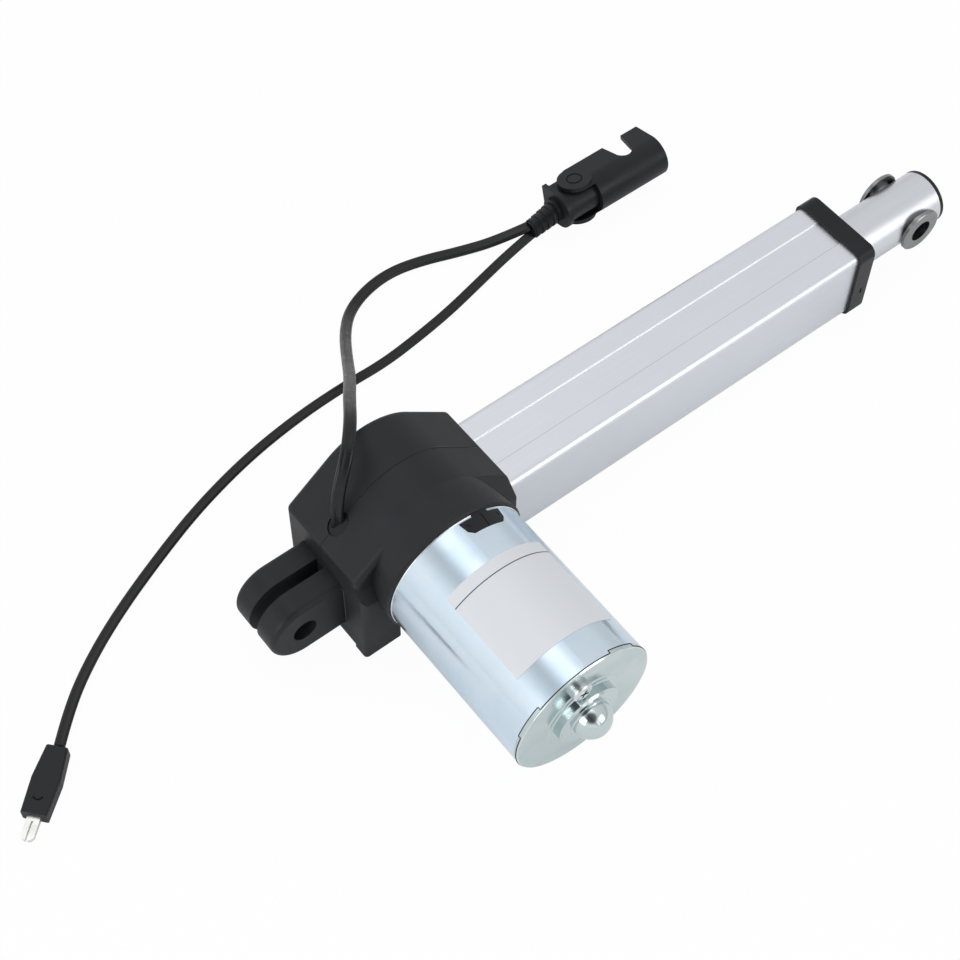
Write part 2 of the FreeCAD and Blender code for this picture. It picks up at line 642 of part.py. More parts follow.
def armature_shaft():
    """The motor shaft with the worm cut on it and a journal at its tip."""
    wall = HOUSE_HALF - HOUSE_WALL
    root = WORM_PITCH - 1.15 * MODULE
    half = WORM_TURNS * WORM_LEAD / 2
    end = CUP_END + CUP_WALL + SLIDING
    near = turned_motor([
        (end, 0), (end, SHAFT_RADIUS - 0.6), (end + 0.6, SHAFT_RADIUS),
        (-half - 4, SHAFT_RADIUS), (-half - 3, root - 0.3), (0.6 - half, root - 0.3), (0.6 - half, 0),
    ])
    far = turned_motor([
        (half - 0.6, 0), (half - 0.6, root - 0.3), (half + 1, root - 0.3), (half + 2, TIP_RADIUS),
        (wall - 1.2, TIP_RADIUS), (wall - 0.6, TIP_RADIUS - 0.6), (wall - 0.6, 0),
    ])
    return near.fuse([worm_thread(root, half), far])


def screw_pieces():
    """What turns on the X axis in the gearbox, and the outer rings that it turns in."""
    pieces = {"lead_screw": lead_screw(), "worm_wheel": worm_wheel(), "wheel_key": key_space(0.0)}
    for place, x0 in (("rear", BEARING_REAR), ("front", bearing_front())):
        outer, inner, balls = bearing(x0)
        pieces[place + "_bearing_outer_ring"] = outer
        pieces[place + "_bearing_inner_ring"] = inner
        pieces[place + "_bearing_balls"] = balls
    side = 2 * LOCK_NUT
    nut_front = BEARING_REAR - RUNNING
    nut = chamfered_bar(side, side, nut_front - NUT_THICKNESS, nut_front, 0.29 * side)
    pieces["lock_nut"] = nut.cut(rod_x(NUT_THREAD + SEAT / 5, 0, BEARING_REAR))
    return pieces


def outer_tube():
    """A square tube with a shallow band along its top and bottom."""
    half = TUBE_SIDE / 2
    tube = round_bar(TUBE_SIDE, TUBE_REAR, TUBE_FRONT, TUBE_CORNER)
    bore = round_bar(2 * BORE_HALF, TUBE_REAR - 1, TUBE_FRONT + 1, TUBE_CORNER - TUBE_WALL * 0.8)
    bands = [
        box(TUBE_REAR - 1, TUBE_FRONT + 1, -BAND_HALF, BAND_HALF, low, low + BAND_DEPTH)
        for low in (-half, half - BAND_DEPTH)
    ]
    return tube.cut([bore] + bands)


def front_pieces():
    """The black end cap with its spigot in the tube, the guide bush and the wiper."""
    side = TUBE_SIDE / 2 + CAP_WALL
    collar = round_bar(2 * side, CAP_REAR, CAP_FRONT, CAP_CORNER)
    collar = collar.makeFillet(0.7, edges_at(collar, "X", CAP_FRONT))
    socket = round_bar(TUBE_SIDE + SEAT, CAP_REAR - 1, TUBE_FRONT + SEAT, TUBE_CORNER)
    spigot = round_bar(2 * BORE_HALF - SLIDING, SPIGOT_REAR, TUBE_FRONT + 1, TUBE_CORNER - TUBE_WALL * 0.8)
    rear, front, low, high, deep = LATCH
    latch = box(CAP_REAR + rear, CAP_REAR + front, -side - 1, deep - side, low, high)
    cap = fused(collar.cut([socket, latch]), spigot)
    lip = CAP_FRONT - CAP_LIP
    mouth = rod_x(ROD_RADIUS + 2 * SLIDING, lip - 1, CAP_FRONT + 1)
    cap = cap.cut([rod_x(GUIDE_OUTER, SPIGOT_REAR - 1, lip), mouth])
    guide = ring_x(GUIDE_OUTER, ROD_RADIUS + RUNNING, SPIGOT_REAR + SLIDING, lip - WIPER_LENGTH - SLIDING)
    wiper = turned_x([
        (lip - WIPER_LENGTH, GUIDE_OUTER), (lip, GUIDE_OUTER), (lip, ROD_RADIUS + RUNNING),
        (lip - 1.2, ROD_RADIUS + RUNNING), (lip - 2.2, ROD_RADIUS + 1), (lip - WIPER_LENGTH, ROD_RADIUS + 1),
    ])
    return {"front_end_cap": cap, "rod_guide_bush": guide, "wiper_seal": wiper}


def rod_pieces():
    """Everything that travels with the push rod."""
    eye = rod_y(EYE_SLEEVE + RUNNING, -ROD_RADIUS - 1, ROD_RADIUS + 1, PIN_TO_PIN)
    pin_at = ROD_REAR + NUT_SPIGOT / 2
    cross = rod_z(NUT_PIN + RUNNING, -ROD_RADIUS - 1, ROD_RADIUS + 1, pin_at)
    bore = ROD_RADIUS - ROD_WALL
    tube = ring_x(ROD_RADIUS, bore, ROD_REAR, ROD_FRONT).cut([eye, cross])
    plug = fused(
        rod_x(bore - SEAT, ROD_FRONT - PLUG_LENGTH, ROD_FRONT + RUNNING),
        turned_x([
            (ROD_FRONT + RUNNING, 0), (ROD_FRONT + RUNNING, ROD_RADIUS),
            (ROD_FRONT + PLUG_HEAD - 0.5, ROD_RADIUS), (ROD_FRONT + PLUG_HEAD, ROD_RADIUS - 0.7),
            (ROD_FRONT + PLUG_HEAD, 0),
        ]),
    ).cut(eye)
    body_rear = NUT_REAR + NUT_FLANGE_LENGTH
    thread = rod_x(SCREW_RADIUS + SLIDING, NUT_REAR - 1, ROD_REAR + NUT_SPIGOT + 1)
    nut = fused(
        rod_x(NUT_FLANGE, NUT_REAR, body_rear),
        round_bar(NUT_SQUARE, body_rear, ROD_REAR, NUT_CORNER),
        rod_x(bore - SEAT / 2, ROD_REAR, ROD_REAR + NUT_SPIGOT),
    ).cut([thread, cross])
    side = 2 * BORE_HALF - 2 * SLIDING
    guide = round_bar(side, body_rear + SEAT, ROD_REAR - SEAT, TUBE_CORNER - TUBE_WALL * 0.7)
    board_side = BOARD_MIDDLE - BOARD_WIDTH / 2 - SLIDING
    notch = box(NUT_REAR, ROD_REAR, board_side, side, LEVER_LOW - SLIDING, side)
    guide = guide.cut([round_bar(NUT_SQUARE + 2 * SEAT, NUT_REAR, ROD_REAR + 1, NUT_CORNER), notch])
    pins = [rod_z(NUT_PIN, SCREW_RADIUS + 1, ROD_RADIUS - SEAT, pin_at)]
    pins.append(rod_z(NUT_PIN, SEAT - ROD_RADIUS, -SCREW_RADIUS - 1, pin_at))
    pieces = {
        "push_rod_tube": tube,
        "rod_end_plug": plug,
        "drive_nut": nut,
        "nut_guide": guide,
        "nut_pins": group(pins),
    }
    for name, way in (("near_eye_bush", -1), ("far_eye_bush", 1)):
        face = ROD_RADIUS + RUNNING
        sleeve = rod_y(EYE_SLEEVE, RUNNING, face, PIN_TO_PIN)
        flange = rod_y(EYE_FLANGE, face, face + EYE_FLANGE_THICKNESS, PIN_TO_PIN)
        flange = flange.makeChamfer(0.3, edges_at(flange, "Y", face + EYE_FLANGE_THICKNESS))
        bush = fused(sleeve, flange).cut(rod_y(PIN_BORE, -1, 2 * ROD_RADIUS, PIN_TO_PIN))
        if way < 0:
            bush.rotate(V(PIN_TO_PIN, 0, 0), X, 180)
        pieces[name] = bush
    return pieces


def switch_pieces():
    """The strip in the tube's top corner with a limit switch at each end of the stroke."""
    top = BORE_HALF - SEAT
    low = top - BOARD_THICKNESS
    length, width, height = SWITCH_SIZE
    side = BOARD_MIDDLE - BOARD_WIDTH / 2
    board = box(BOARD_ENDS[0], BOARD_ENDS[1], side, side + BOARD_WIDTH, low, top)
    near = SWITCH_SIDE
    tip = LEVER_LOW
    switches = [
        fused(
            box(x, x + length, near, near + width, low - height, low),
            box(x + length / 2, x + 0.62 * length, near + width / 4, near + 3 * width / 4, tip, low - height),
        )
        for x in SWITCH_PLACES
    ]
    return {"limit_switch_board": board, "limit_switches": group(switches)}


def terminal_window(gap):
    """The outline of the can's terminal window as a block, smaller by a gap all round."""
    first, last = NOTCH_ANGLES
    middle = (first + last) / 2
    half = CAN_RADIUS * math.sin(math.radians(last - middle)) - gap
    front = CAN_FRONT - RIM_STRIP - gap
    rear = CAN_FRONT - NOTCH_DEPTH + gap
    waist = half - NOTCH_LEAN
    foot = waist - NOTCH_CHAMFER
    low = MOTOR_Z + CAN_RADIUS - 5 * CAN_WALL / 2
    corner = rear + NOTCH_CHAMFER
    outline = ((-half, front), (half, front), (waist, corner), (foot, rear), (-foot, rear), (-waist, corner))
    block = prism([V(MOTOR_X + x, y, low) for x, y in outline], V(0, 0, CAN_RADIUS))
    block.rotate(V(MOTOR_X, 0, MOTOR_Z), Y, middle)
    return block


def motor_can():
    """A drawn steel can with a window for the brush terminals and two tabs crimped over the end plate."""
    can = motor_rod(CAN_RADIUS, CAN_REAR, CAN_FRONT).cut(motor_rod(CAN_INNER, CAN_REAR - 1, CAN_FRONT + 1))
    strip = motor_arc(CAN_INNER - 1, CAN_RADIUS + 1, CAN_FRONT - RIM_STRIP - 1, CAN_FRONT + 1, *RIM_GAP)
    foot = CAN_REAR - TAB_DEPTH
    tabs = [motor_arc(CAN_INNER, CAN_RADIUS, foot, CAN_REAR, *angles) for angles in TAB_ANGLES]
    return fused(can.cut([terminal_window(0.0), strip]), *tabs)


def motor_end_plate():
    """The steel plate that closes the can, with a stepped cup for the rear bush and a domed tip."""
    back = CAN_REAR - END_PLATE
    ring = back - 0.4
    bore = REAR_BUSH + PRESS
    step = CUP_END - 0.5
    plate = turned_motor([
        (CAN_REAR, CAN_RADIUS), (back + 0.5, CAN_RADIUS), (back, CAN_RADIUS - 0.5), (back, CUP_RADIUS + 3.8),
        (ring, CUP_RADIUS + 3.2), (ring, CUP_RADIUS + 2.0), (ring - 0.4, CUP_RADIUS + 1.5),
        (ring - 0.4, CUP_RADIUS), (CUP_END + 0.8, CUP_RADIUS), (CUP_END, CUP_RADIUS - 0.8),
        (CUP_END, STEP_RADIUS + 0.3), (step, STEP_RADIUS), (step, 0), (CUP_END + CUP_WALL, 0),
        (CUP_END + CUP_WALL, bore), (CAN_REAR, bore),
    ])
    dome = Part.makeSphere(END_DOME, V(MOTOR_X, CUP_END - 0.1, MOTOR_Z))
    dome = dome.common(motor_rod(2 * END_DOME, CUP_END - 2 * END_DOME, CUP_END - 0.1))
    foot = CAN_REAR - TAB_DEPTH - SEAT
    recess = [
        motor_arc(CAN_INNER - SEAT, CAN_RADIUS + 1, foot, CAN_REAR + 1, first - 0.2, last + 0.2)
        for first, last in TAB_ANGLES
    ]
    holes = []
    for angle in END_SCREW_ANGLES:
        x, z = on_motor(END_SCREW_CIRCLE, angle)
        holes.append(rod_y(SCREW_SHANK + RUNNING, CAN_REAR - 2 * END_PLATE, CAN_REAR + 1, x, z))
        holes.append(rod_y(END_SCREW_HEAD + SEAT, CAN_REAR - 3 * END_PLATE, back, x, z))
    return fused(plate, dome).cut(recess + holes)


def end_screws():
    screws = []
    back = CAN_REAR - END_PLATE - PRESS
    top = back - END_SCREW_HEIGHT
    for angle in END_SCREW_ANGLES:
        x, z = on_motor(END_SCREW_CIRCLE, angle)
        head = rod_y(END_SCREW_HEAD, top, back, x, z)
        head = head.makeFillet(END_SCREW_HEIGHT / 2, edges_at(head, "Y", top))
        screws.append(head.fuse(rod_y(SCREW_SHANK, back, CAN_REAR + END_SCREW_REACH, x, z)))
    return group(screws)


def motor_bracket():
    """The plate in the gearbox end of the can, whose boss centres the motor in the flange."""
    disc = motor_rod(CAN_INNER - RUNNING, CAN_FRONT - BRACKET_PLATE, CAN_FRONT)
    boss = motor_rod(BRACKET_BOSS, CAN_FRONT - BRACKET_PLATE, CAN_FRONT + FLANGE_PLATE + 3)
    hollow = motor_rod(FRONT_BEARING + RUNNING, CAN_FRONT - BRACKET_PLATE - 1, CAN_FRONT + FLANGE_PLATE + 1.5)
    holes = [hollow, motor_rod(SHAFT_RADIUS + 1, CAN_FRONT, CAN_FRONT + 2 * FLANGE_PLATE)]
    for angle in BRACKET_SCREW_ANGLES:
        x, z = on_motor(MOTOR_SCREW_CIRCLE, angle)
        holes.append(rod_y(SCREW_SHANK + 1.5 * SEAT, CAN_FRONT - BRACKET_PLATE - 1, CAN_FRONT + 1, x, z))
    return fused(disc, boss).cut(holes)


def bracket_screws():
    screws = []
    top = CAN_FRONT + FLANGE_PLATE
    for angle in BRACKET_SCREW_ANGLES:
        x, z = on_motor(MOTOR_SCREW_CIRCLE, angle)
        shank = rod_y(SCREW_SHANK, CAN_FRONT - BRACKET_PLATE, top, x, z)
        screws.append(shank.fuse(rod_y(SCREW_HEAD, top, top + SCREW_HEAD_HEIGHT, x, z)))
    return group(screws)


def brush_holder():
    """A ring card with two brush boxes and the terminal block that fills the can's window."""
    low = HOLDER_FACE - HOLDER_THICKNESS
    ring = motor_rod(CAN_INNER - SEAT, low, HOLDER_FACE)
    ring = ring.cut(motor_rod(COMMUTATOR_RADIUS + BOX_WALL, low - 1, HOLDER_FACE + 1))
    skin = CAN_RADIUS + TERMINAL_PROUD
    block = terminal_window(SEAT).common(motor_rod(skin, CAN_REAR, CAN_FRONT))
    block = block.cut(motor_rod(CAN_INNER + SEAT, CAN_FRONT - BRACKET_PLATE - SEAT, CAN_FRONT))
    root = CAN_FRONT - 2 * RIM_STRIP
    tongue = motor_arc(CAN_INNER + SEAT, skin, root, CAN_FRONT - SEAT, RIM_GAP[0] + 0.2, RIM_GAP[1] - 0.2)
    length, width, depth = BRUSH_SIZE
    half = width / 2
    boxes = []
    for way in (1, -1):
        near = MOTOR_X + way * (COMMUTATOR_RADIUS + BOX_WALL)
        far = MOTOR_X + way * (CAN_INNER - BOX_ROOM)
        lo = min(near, far)
        hi = max(near, far)
        wall = half + BOX_WALL
        space = half + SEAT
        outer = box(lo, hi, low - depth - BOX_WALL, low, MOTOR_Z - wall, MOTOR_Z + wall)
        room = box(lo - 1, hi + 1, low - depth - SEAT, low - SEAT, MOTOR_Z - space, MOTOR_Z + space)
        boxes.append(outer.cut(room))
    return fused(ring, block, tongue, *boxes)


def brushes():
    length, width, depth = BRUSH_SIZE
    low = HOLDER_FACE - HOLDER_THICKNESS
    blocks = []
    for way in (1, -1):
        near = MOTOR_X + way * (COMMUTATOR_RADIUS + RUNNING)
        far = near + way * length
        lo = min(near, far)
        hi = max(near, far)
        block = box(lo, hi, low - depth, low - 2 * SEAT, MOTOR_Z - width / 2, MOTOR_Z + width / 2)
        blocks.append(block.cut(motor_rod(COMMUTATOR_RADIUS + RUNNING, low - depth - 1, low)))
    return group(blocks)


def lamination_stack():
    """The armature's steel stack with its slots."""
    rear = STACK_ENDS[0] - 1
    front = STACK_ENDS[1] + 1
    stack = motor_rod(STACK_RADIUS, *STACK_ENDS).cut(motor_rod(SHAFT_RADIUS, rear, front))
    slots = []
    for i in range(STACK_SLOTS):
        angle = 360.0 * i / STACK_SLOTS
        slots.append(motor_arc(SLOT_FLOOR, SLOT_TOP, rear, front, angle - 8, angle + 8))
        slots.append(motor_arc(SLOT_TOP - 1, STACK_RADIUS + 1, rear, front, angle - 3, angle + 3))
    return stack.cut(slots)


def armature_windings():
    """The coils: a bar in each slot and a rounded bundle at each end of the stack."""
    turns = []
    rear, front = STACK_ENDS
    hub = SHAFT_RADIUS + 2
    soft = 1.5
    for y0, y1 in ((rear - REAR_TURNS, rear), (front, front + FRONT_TURNS)):
        turns.append(turned_motor([
            (y0, hub + 2), (y0 + soft, hub), (y1 - soft, hub), (y1, hub + 2),
            (y1, SLOT_TOP - 2), (y1 - soft, SLOT_TOP), (y0 + soft, SLOT_TOP), (y0, SLOT_TOP - 2),
        ]))
    for i in range(STACK_SLOTS):
        angle = 360.0 * i / STACK_SLOTS
        turns.append(motor_arc(SLOT_FLOOR + SLIDING, SLOT_TOP - 2, rear, front, angle - 7, angle + 7))
    return fused(*turns)


def motor_pieces():
    first = 90 - MAGNET_ARC / 2
    magnets = [
        motor_arc(MAGNET_INNER, CAN_INNER, MAGNET_ENDS[0], MAGNET_ENDS[1], start, start + MAGNET_ARC)
        for start in (first, first + 180)
    ]
    shaft = motor_rod(SHAFT_RADIUS + RUNNING, CUP_END, HOUSE_HALF)
    bush = motor_rod(REAR_BUSH, CUP_END + CUP_WALL, CAN_REAR).cut(shaft)
    front = CAN_FRONT + FLANGE_PLATE + 1.4
    bearing_ring = motor_rod(FRONT_BEARING, front - BALL_RACE, front).cut(shaft)
    wall = HOUSE_HALF - HOUSE_WALL - 4 * SEAT
    journal = motor_rod(TIP_RADIUS + RUNNING, 0, HOUSE_HALF)
    tip_bush = motor_rod(TIP_BUSH, wall - TIP_BUSH_LENGTH, wall).cut(journal)
    bars = motor_rod(COMMUTATOR_RADIUS, *COMMUTATOR_ENDS)
    skin = CAN_RADIUS + RUNNING
    label = motor_arc(skin, skin + LABEL_THICKNESS, *LABEL_ENDS, *LABEL_ANGLES)
    return {
        "motor_can": motor_can(),
        "motor_end_plate": motor_end_plate(),
        "end_plate_screws": end_screws(),
        "motor_bracket": motor_bracket(),
        "bracket_screws": bracket_screws(),
        "motor_magnets": group(magnets),
        "brush_holder": brush_holder(),
        "brushes": brushes(),
        "motor_rear_bush": bush,
        "motor_front_bearing": bearing_ring,
        "worm_tip_bush": tip_bush,
        "rating_label": label,
        "armature_shaft": armature_shaft(),
        "lamination_stack": lamination_stack(),
        "armature_windings": armature_windings(),
        "commutator": bars.cut(motor_rod(SHAFT_RADIUS, COMMUTATOR_ENDS[0] - 1, COMMUTATOR_ENDS[1] + 1)),
    }


def back_section(half, centre, edge, x0, x1):
    """A bar along the connector with a half-round back and a flat front edge."""
    rear = V(x0, edge, half)
    outline = Part.Wire([
        Part.LineSegment(V(x0, centre, -half), V(x0, edge, -half)).toShape(),
        Part.LineSegment(V(x0, edge, -half), rear).toShape(),
        Part.LineSegment(rear, V(x0, centre, half)).toShape(),
        Part.Arc(V(x0, centre, half), V(x0, centre - half, 0), V(x0, centre, -half)).toShape(),
    ])
    return Part.Face(outline).extrude(V(x1 - x0, 0, 0))


def lock_shell():
    """A U-shaped shell with a hook slot across both cheeks, hung on the connector's two pivots."""
    inner = SHELL_HALF - SHELL_WALL
    rise = CHEEK_EDGE + HOOK_RISE
    shell = fused(
        back_section(SHELL_HALF, SHELL_CENTRE, CHEEK_EDGE, 0, HOOK_START),
        back_section(SHELL_HALF, SHELL_CENTRE, rise, HOOK_START - 1, SHELL_FRONT),
        rod_z(CHEEK_DISC, -SHELL_HALF, SHELL_HALF),
    )
    reach = 2 * SHELL_FRONT
    behind = box(-reach, SHELL_REAR, -reach, reach, -inner, inner)
    low = box(-reach, SHELL_REAR, -reach, -CHEEK_DISC, -reach, reach)
    mouth = back_section(inner, SHELL_CENTRE, reach, -reach, reach)
    wide = SLOT_ROUND + 1.2
    top = rise + 1
    slot = prism([
        V(SLOT_CENTRE - SLOT_ROUND, 0, -reach), V(SLOT_CENTRE - wide, top, -reach),
        V(SLOT_CENTRE + wide + 1.2, top, -reach), V(SLOT_CENTRE + SLOT_ROUND, 0, -reach),
    ], V(0, 0, 2 * reach))
    pivots = rod_z(PIVOT_RADIUS + RUNNING, -reach, reach)
    return shell.cut([behind, low, mouth, slot, rod_z(SLOT_ROUND, -reach, reach, SLOT_CENTRE), pivots])


def in_place(shape):
    """From the connector's own frame, pivot along Z, to where it lies on the floor."""
    shape.rotate(V(0, 0, 0), X, JOINT_TILT)
    shape.translate(JOINT_AT)
    return shape


def oval(centre, wide, tall):
    """An upright ellipse across the X axis, by its half width and half height."""
    return Part.Ellipse(centre + V(0, wide, 0), centre + V(0, 0, tall), centre).toShape()


def strain_relief():
    """A tapered boot with rings that droops from the connector's rear to the floor, round both leads."""
    boot = Part.makeLoft([
        Part.Wire(oval(RELIEF_ROOT, RELIEF_ROUND + SEAT, RELIEF_ROUND)),
        Part.Wire(oval(RELIEF_END, RELIEF_WIDE, RELIEF_TALL)),
    ], True)
    rings = []
    pitch = (RELIEF_END - RELIEF_ROOT) / RELIEF_RINGS
    for i in range(RELIEF_RINGS):
        share = (i + 0.5) / RELIEF_RINGS
        wide = RELIEF_ROUND + (RELIEF_WIDE - RELIEF_ROUND) * share + RELIEF_RING
        tall = RELIEF_ROUND + (RELIEF_TALL - RELIEF_ROUND) * share + RELIEF_RING - SEAT
        ring = Part.Face(Part.Wire(oval(RELIEF_ROOT + pitch * (i + 0.25), wide, tall)))
        rings.append(ring.extrude(pitch * 0.5))
    return fused(boot, *rings)


def connector_pieces():
    inner = SHELL_HALF - SHELL_WALL
    body = fused(
        back_section(inner - BODY_GAP, SHELL_CENTRE + SEAT, CHEEK_EDGE - 1, BODY_REAR, BODY_FRONT),
        back_section(PLATE_HALF, SHELL_CENTRE + SEAT, CHEEK_EDGE - SEAT, BODY_REAR, BODY_REAR + PLATE_LENGTH),
        rod_x(BODY_COLLAR, BODY_REAR - COLLAR_LENGTH, BODY_REAR),
        box(BODY_FRONT, NOSE_FRONT, -6.0, 5.0, -5.0, 5.0),
    )
    seat = inner - BODY_GAP
    pins = [rod_z(PIVOT_RADIUS, seat, SHELL_HALF), rod_z(PIVOT_RADIUS, -SHELL_HALF, -seat)]
    contacts = [rod_x(CONTACT_RADIUS, NOSE_FRONT, NOSE_FRONT + CONTACT_LENGTH, y, 0) for y in CONTACT_SIDES]
    return {
        "connector_body": in_place(body),
        "lock_pivots": in_place(group(pins)),
        "connector_contacts": in_place(group(contacts)),
        "lock_shell": in_place(lock_shell()),
        "strain_relief": strain_relief(),
    }


def plug_pieces():
    """The flat plug at the far end of the thin lead, with its slotted blade."""
    reach, wide, thick = BLADE
    low = -PLUG_TALL / 2
    outline = [V(x, -wide / 2, low) for x, wide in PLUG_WIDTHS]
    outline += [V(x, wide / 2, low) for x, wide in reversed(PLUG_WIDTHS)]
    body = prism(outline, V(0, 0, PLUG_TALL))
    soft = [e for e in body.Edges if e.BoundBox.XLength > 1 or e.BoundBox.XMax < 1]
    body = body.makeFillet(PLUG_ROUND, soft)
    tip = PLUG_LONG + reach
    blade = box(PLUG_LONG, tip, -wide / 2, wide / 2, -thick / 2, thick / 2)
    tips = [e for e in blade.Edges if e.BoundBox.XMin > tip - 1e-6 and e.BoundBox.ZLength > thick / 2]
    blade = blade.makeFillet(wide * 0.42, tips)
    slit = box(PLUG_LONG + 2, tip + 1, -BLADE_SLIT / 2, BLADE_SLIT / 2, -thick, thick)
    blade = blade.cut(slit)
    placed = {}
    for name, shape in (("small_plug", body), ("plug_blade", blade)):
        shape.rotate(V(0, 0, 0), Z, PLUG_TURN)
        shape.translate(PLUG_AT)
        placed[name] = shape
    return placed


def cord(name, route, width):
    """A round cord along straight runs joined by arcs, each as large as its two runs allow."""
    edges = []
    here = route[0]
    radii = []
    for before, corner, after in zip(route, route[1:], route[2:]):
        arrive = corner - before
        leave = after - corner
        reach = 0.45 * min(arrive.Length, leave.Length)
        arrive.normalize()
        leave.normalize()
        radius = reach / math.tan(arrive.getAngle(leave) / 2)
        inward = leave - arrive
        inward.normalize()
        start = corner - arrive * reach
        end = corner + leave * reach
        edges.append(Part.LineSegment(here, start).toShape())
        edges.append(Part.Arc(start, corner + inward * (math.hypot(radius, reach) - radius), end).toShape())
        here = end
        radii.append(radius)
    edges.append(Part.LineSegment(here, route[-1]).toShape())
    path = sum(e.Length for e in edges)
    section = Part.Wire(Part.Circle(route[0], route[1] - route[0], width / 2).toShape())
    tube = Part.Wire(edges).makePipeShell([section], True, False)
    area = math.pi * width * width / 4
    print(name, "length", round(path, 1), "volume over section x length", round(tube.Volume / area / path, 5))
    print(name, "radii", [round(r, 1) for r in radii])
    return tube


def main():
    pieces = {
        "rear_clevis": rear_clevis(),
        "housing_far": housing_far(),
        "housing_near": housing_near(),
        "housing_screws": housing_screws(),
        "outer_tube": outer_tube(),
        "motor_lead": cord("motor_lead", ROUTE_A, LEAD_A),
        "supply_lead": cord("supply_lead", ROUTE_B, LEAD_B),
    }
    inside = (screw_pieces, switch_pieces, motor_pieces)
    outside = (front_pieces, rod_pieces, connector_pieces, plug_pieces)
    for family in inside + outside:
        pieces.update(family())
    for name, shape in pieces.items():
        print(name, "solids", len(shape.Solids), "valid", shape.isValid(), "volume", round(shape.Volume, 1))
        shape.exportStep("parts/" + name + ".step")


main()
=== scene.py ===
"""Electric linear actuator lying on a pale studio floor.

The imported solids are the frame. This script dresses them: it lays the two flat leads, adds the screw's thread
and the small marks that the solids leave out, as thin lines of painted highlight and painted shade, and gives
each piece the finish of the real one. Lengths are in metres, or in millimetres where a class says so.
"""

import logging
import math
from dataclasses import dataclass, field
from enum import Enum

import bpy
import numpy as np
from mathutils import Matrix, Vector


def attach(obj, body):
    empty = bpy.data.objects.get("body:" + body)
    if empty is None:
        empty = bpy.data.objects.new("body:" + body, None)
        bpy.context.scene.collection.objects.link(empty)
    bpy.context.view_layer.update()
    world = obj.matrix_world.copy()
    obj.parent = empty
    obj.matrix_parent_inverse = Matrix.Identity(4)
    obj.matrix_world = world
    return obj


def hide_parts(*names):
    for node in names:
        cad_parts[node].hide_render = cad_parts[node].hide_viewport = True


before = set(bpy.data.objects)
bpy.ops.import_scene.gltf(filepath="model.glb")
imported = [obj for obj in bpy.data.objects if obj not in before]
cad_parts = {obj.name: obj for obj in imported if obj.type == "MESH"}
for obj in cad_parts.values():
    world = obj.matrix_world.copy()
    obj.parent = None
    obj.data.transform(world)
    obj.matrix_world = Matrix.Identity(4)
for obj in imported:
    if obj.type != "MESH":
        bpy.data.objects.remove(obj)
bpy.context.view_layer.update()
MM = 0.001
ALONG_X, ALONG_Y, ALONG_Z = np.eye(3)
LOG = logging.getLogger("actuator")

# Most of a noise pattern's grey values lie in the first range, and the second gives clouds with clear edges.
NOISE_SPREAD = (0.3, 0.7)
CLOUD_SPREAD = (0.35, 0.65)
# A painted stripe has faded out at this many half widths from its middle.
STRIPE_FADE = 1.6
WHITE = (1.0, 1.0, 1.0, 1.0)

Pair = tuple[float, float]
Point = tuple[float, float, float]
Colour = tuple[float, float, float]
Socket = bpy.types.NodeSocket
Material = bpy.types.Material


class Across(Enum):
    """The way that a machining or drawing mark runs on a metal, as factors of the pattern's coordinates."""

    ALONG_ROD = (0.02, 1.0, 1.0)
    ALONG_MOTOR = (1.0, 0.02, 1.0)
    ROUND_ROD = (1.0, 0.0, 0.0)


class Body(Enum):
    """The moving bodies that the pieces made here ride on."""

    HOUSING = "housing"
    SCREW = "screw"


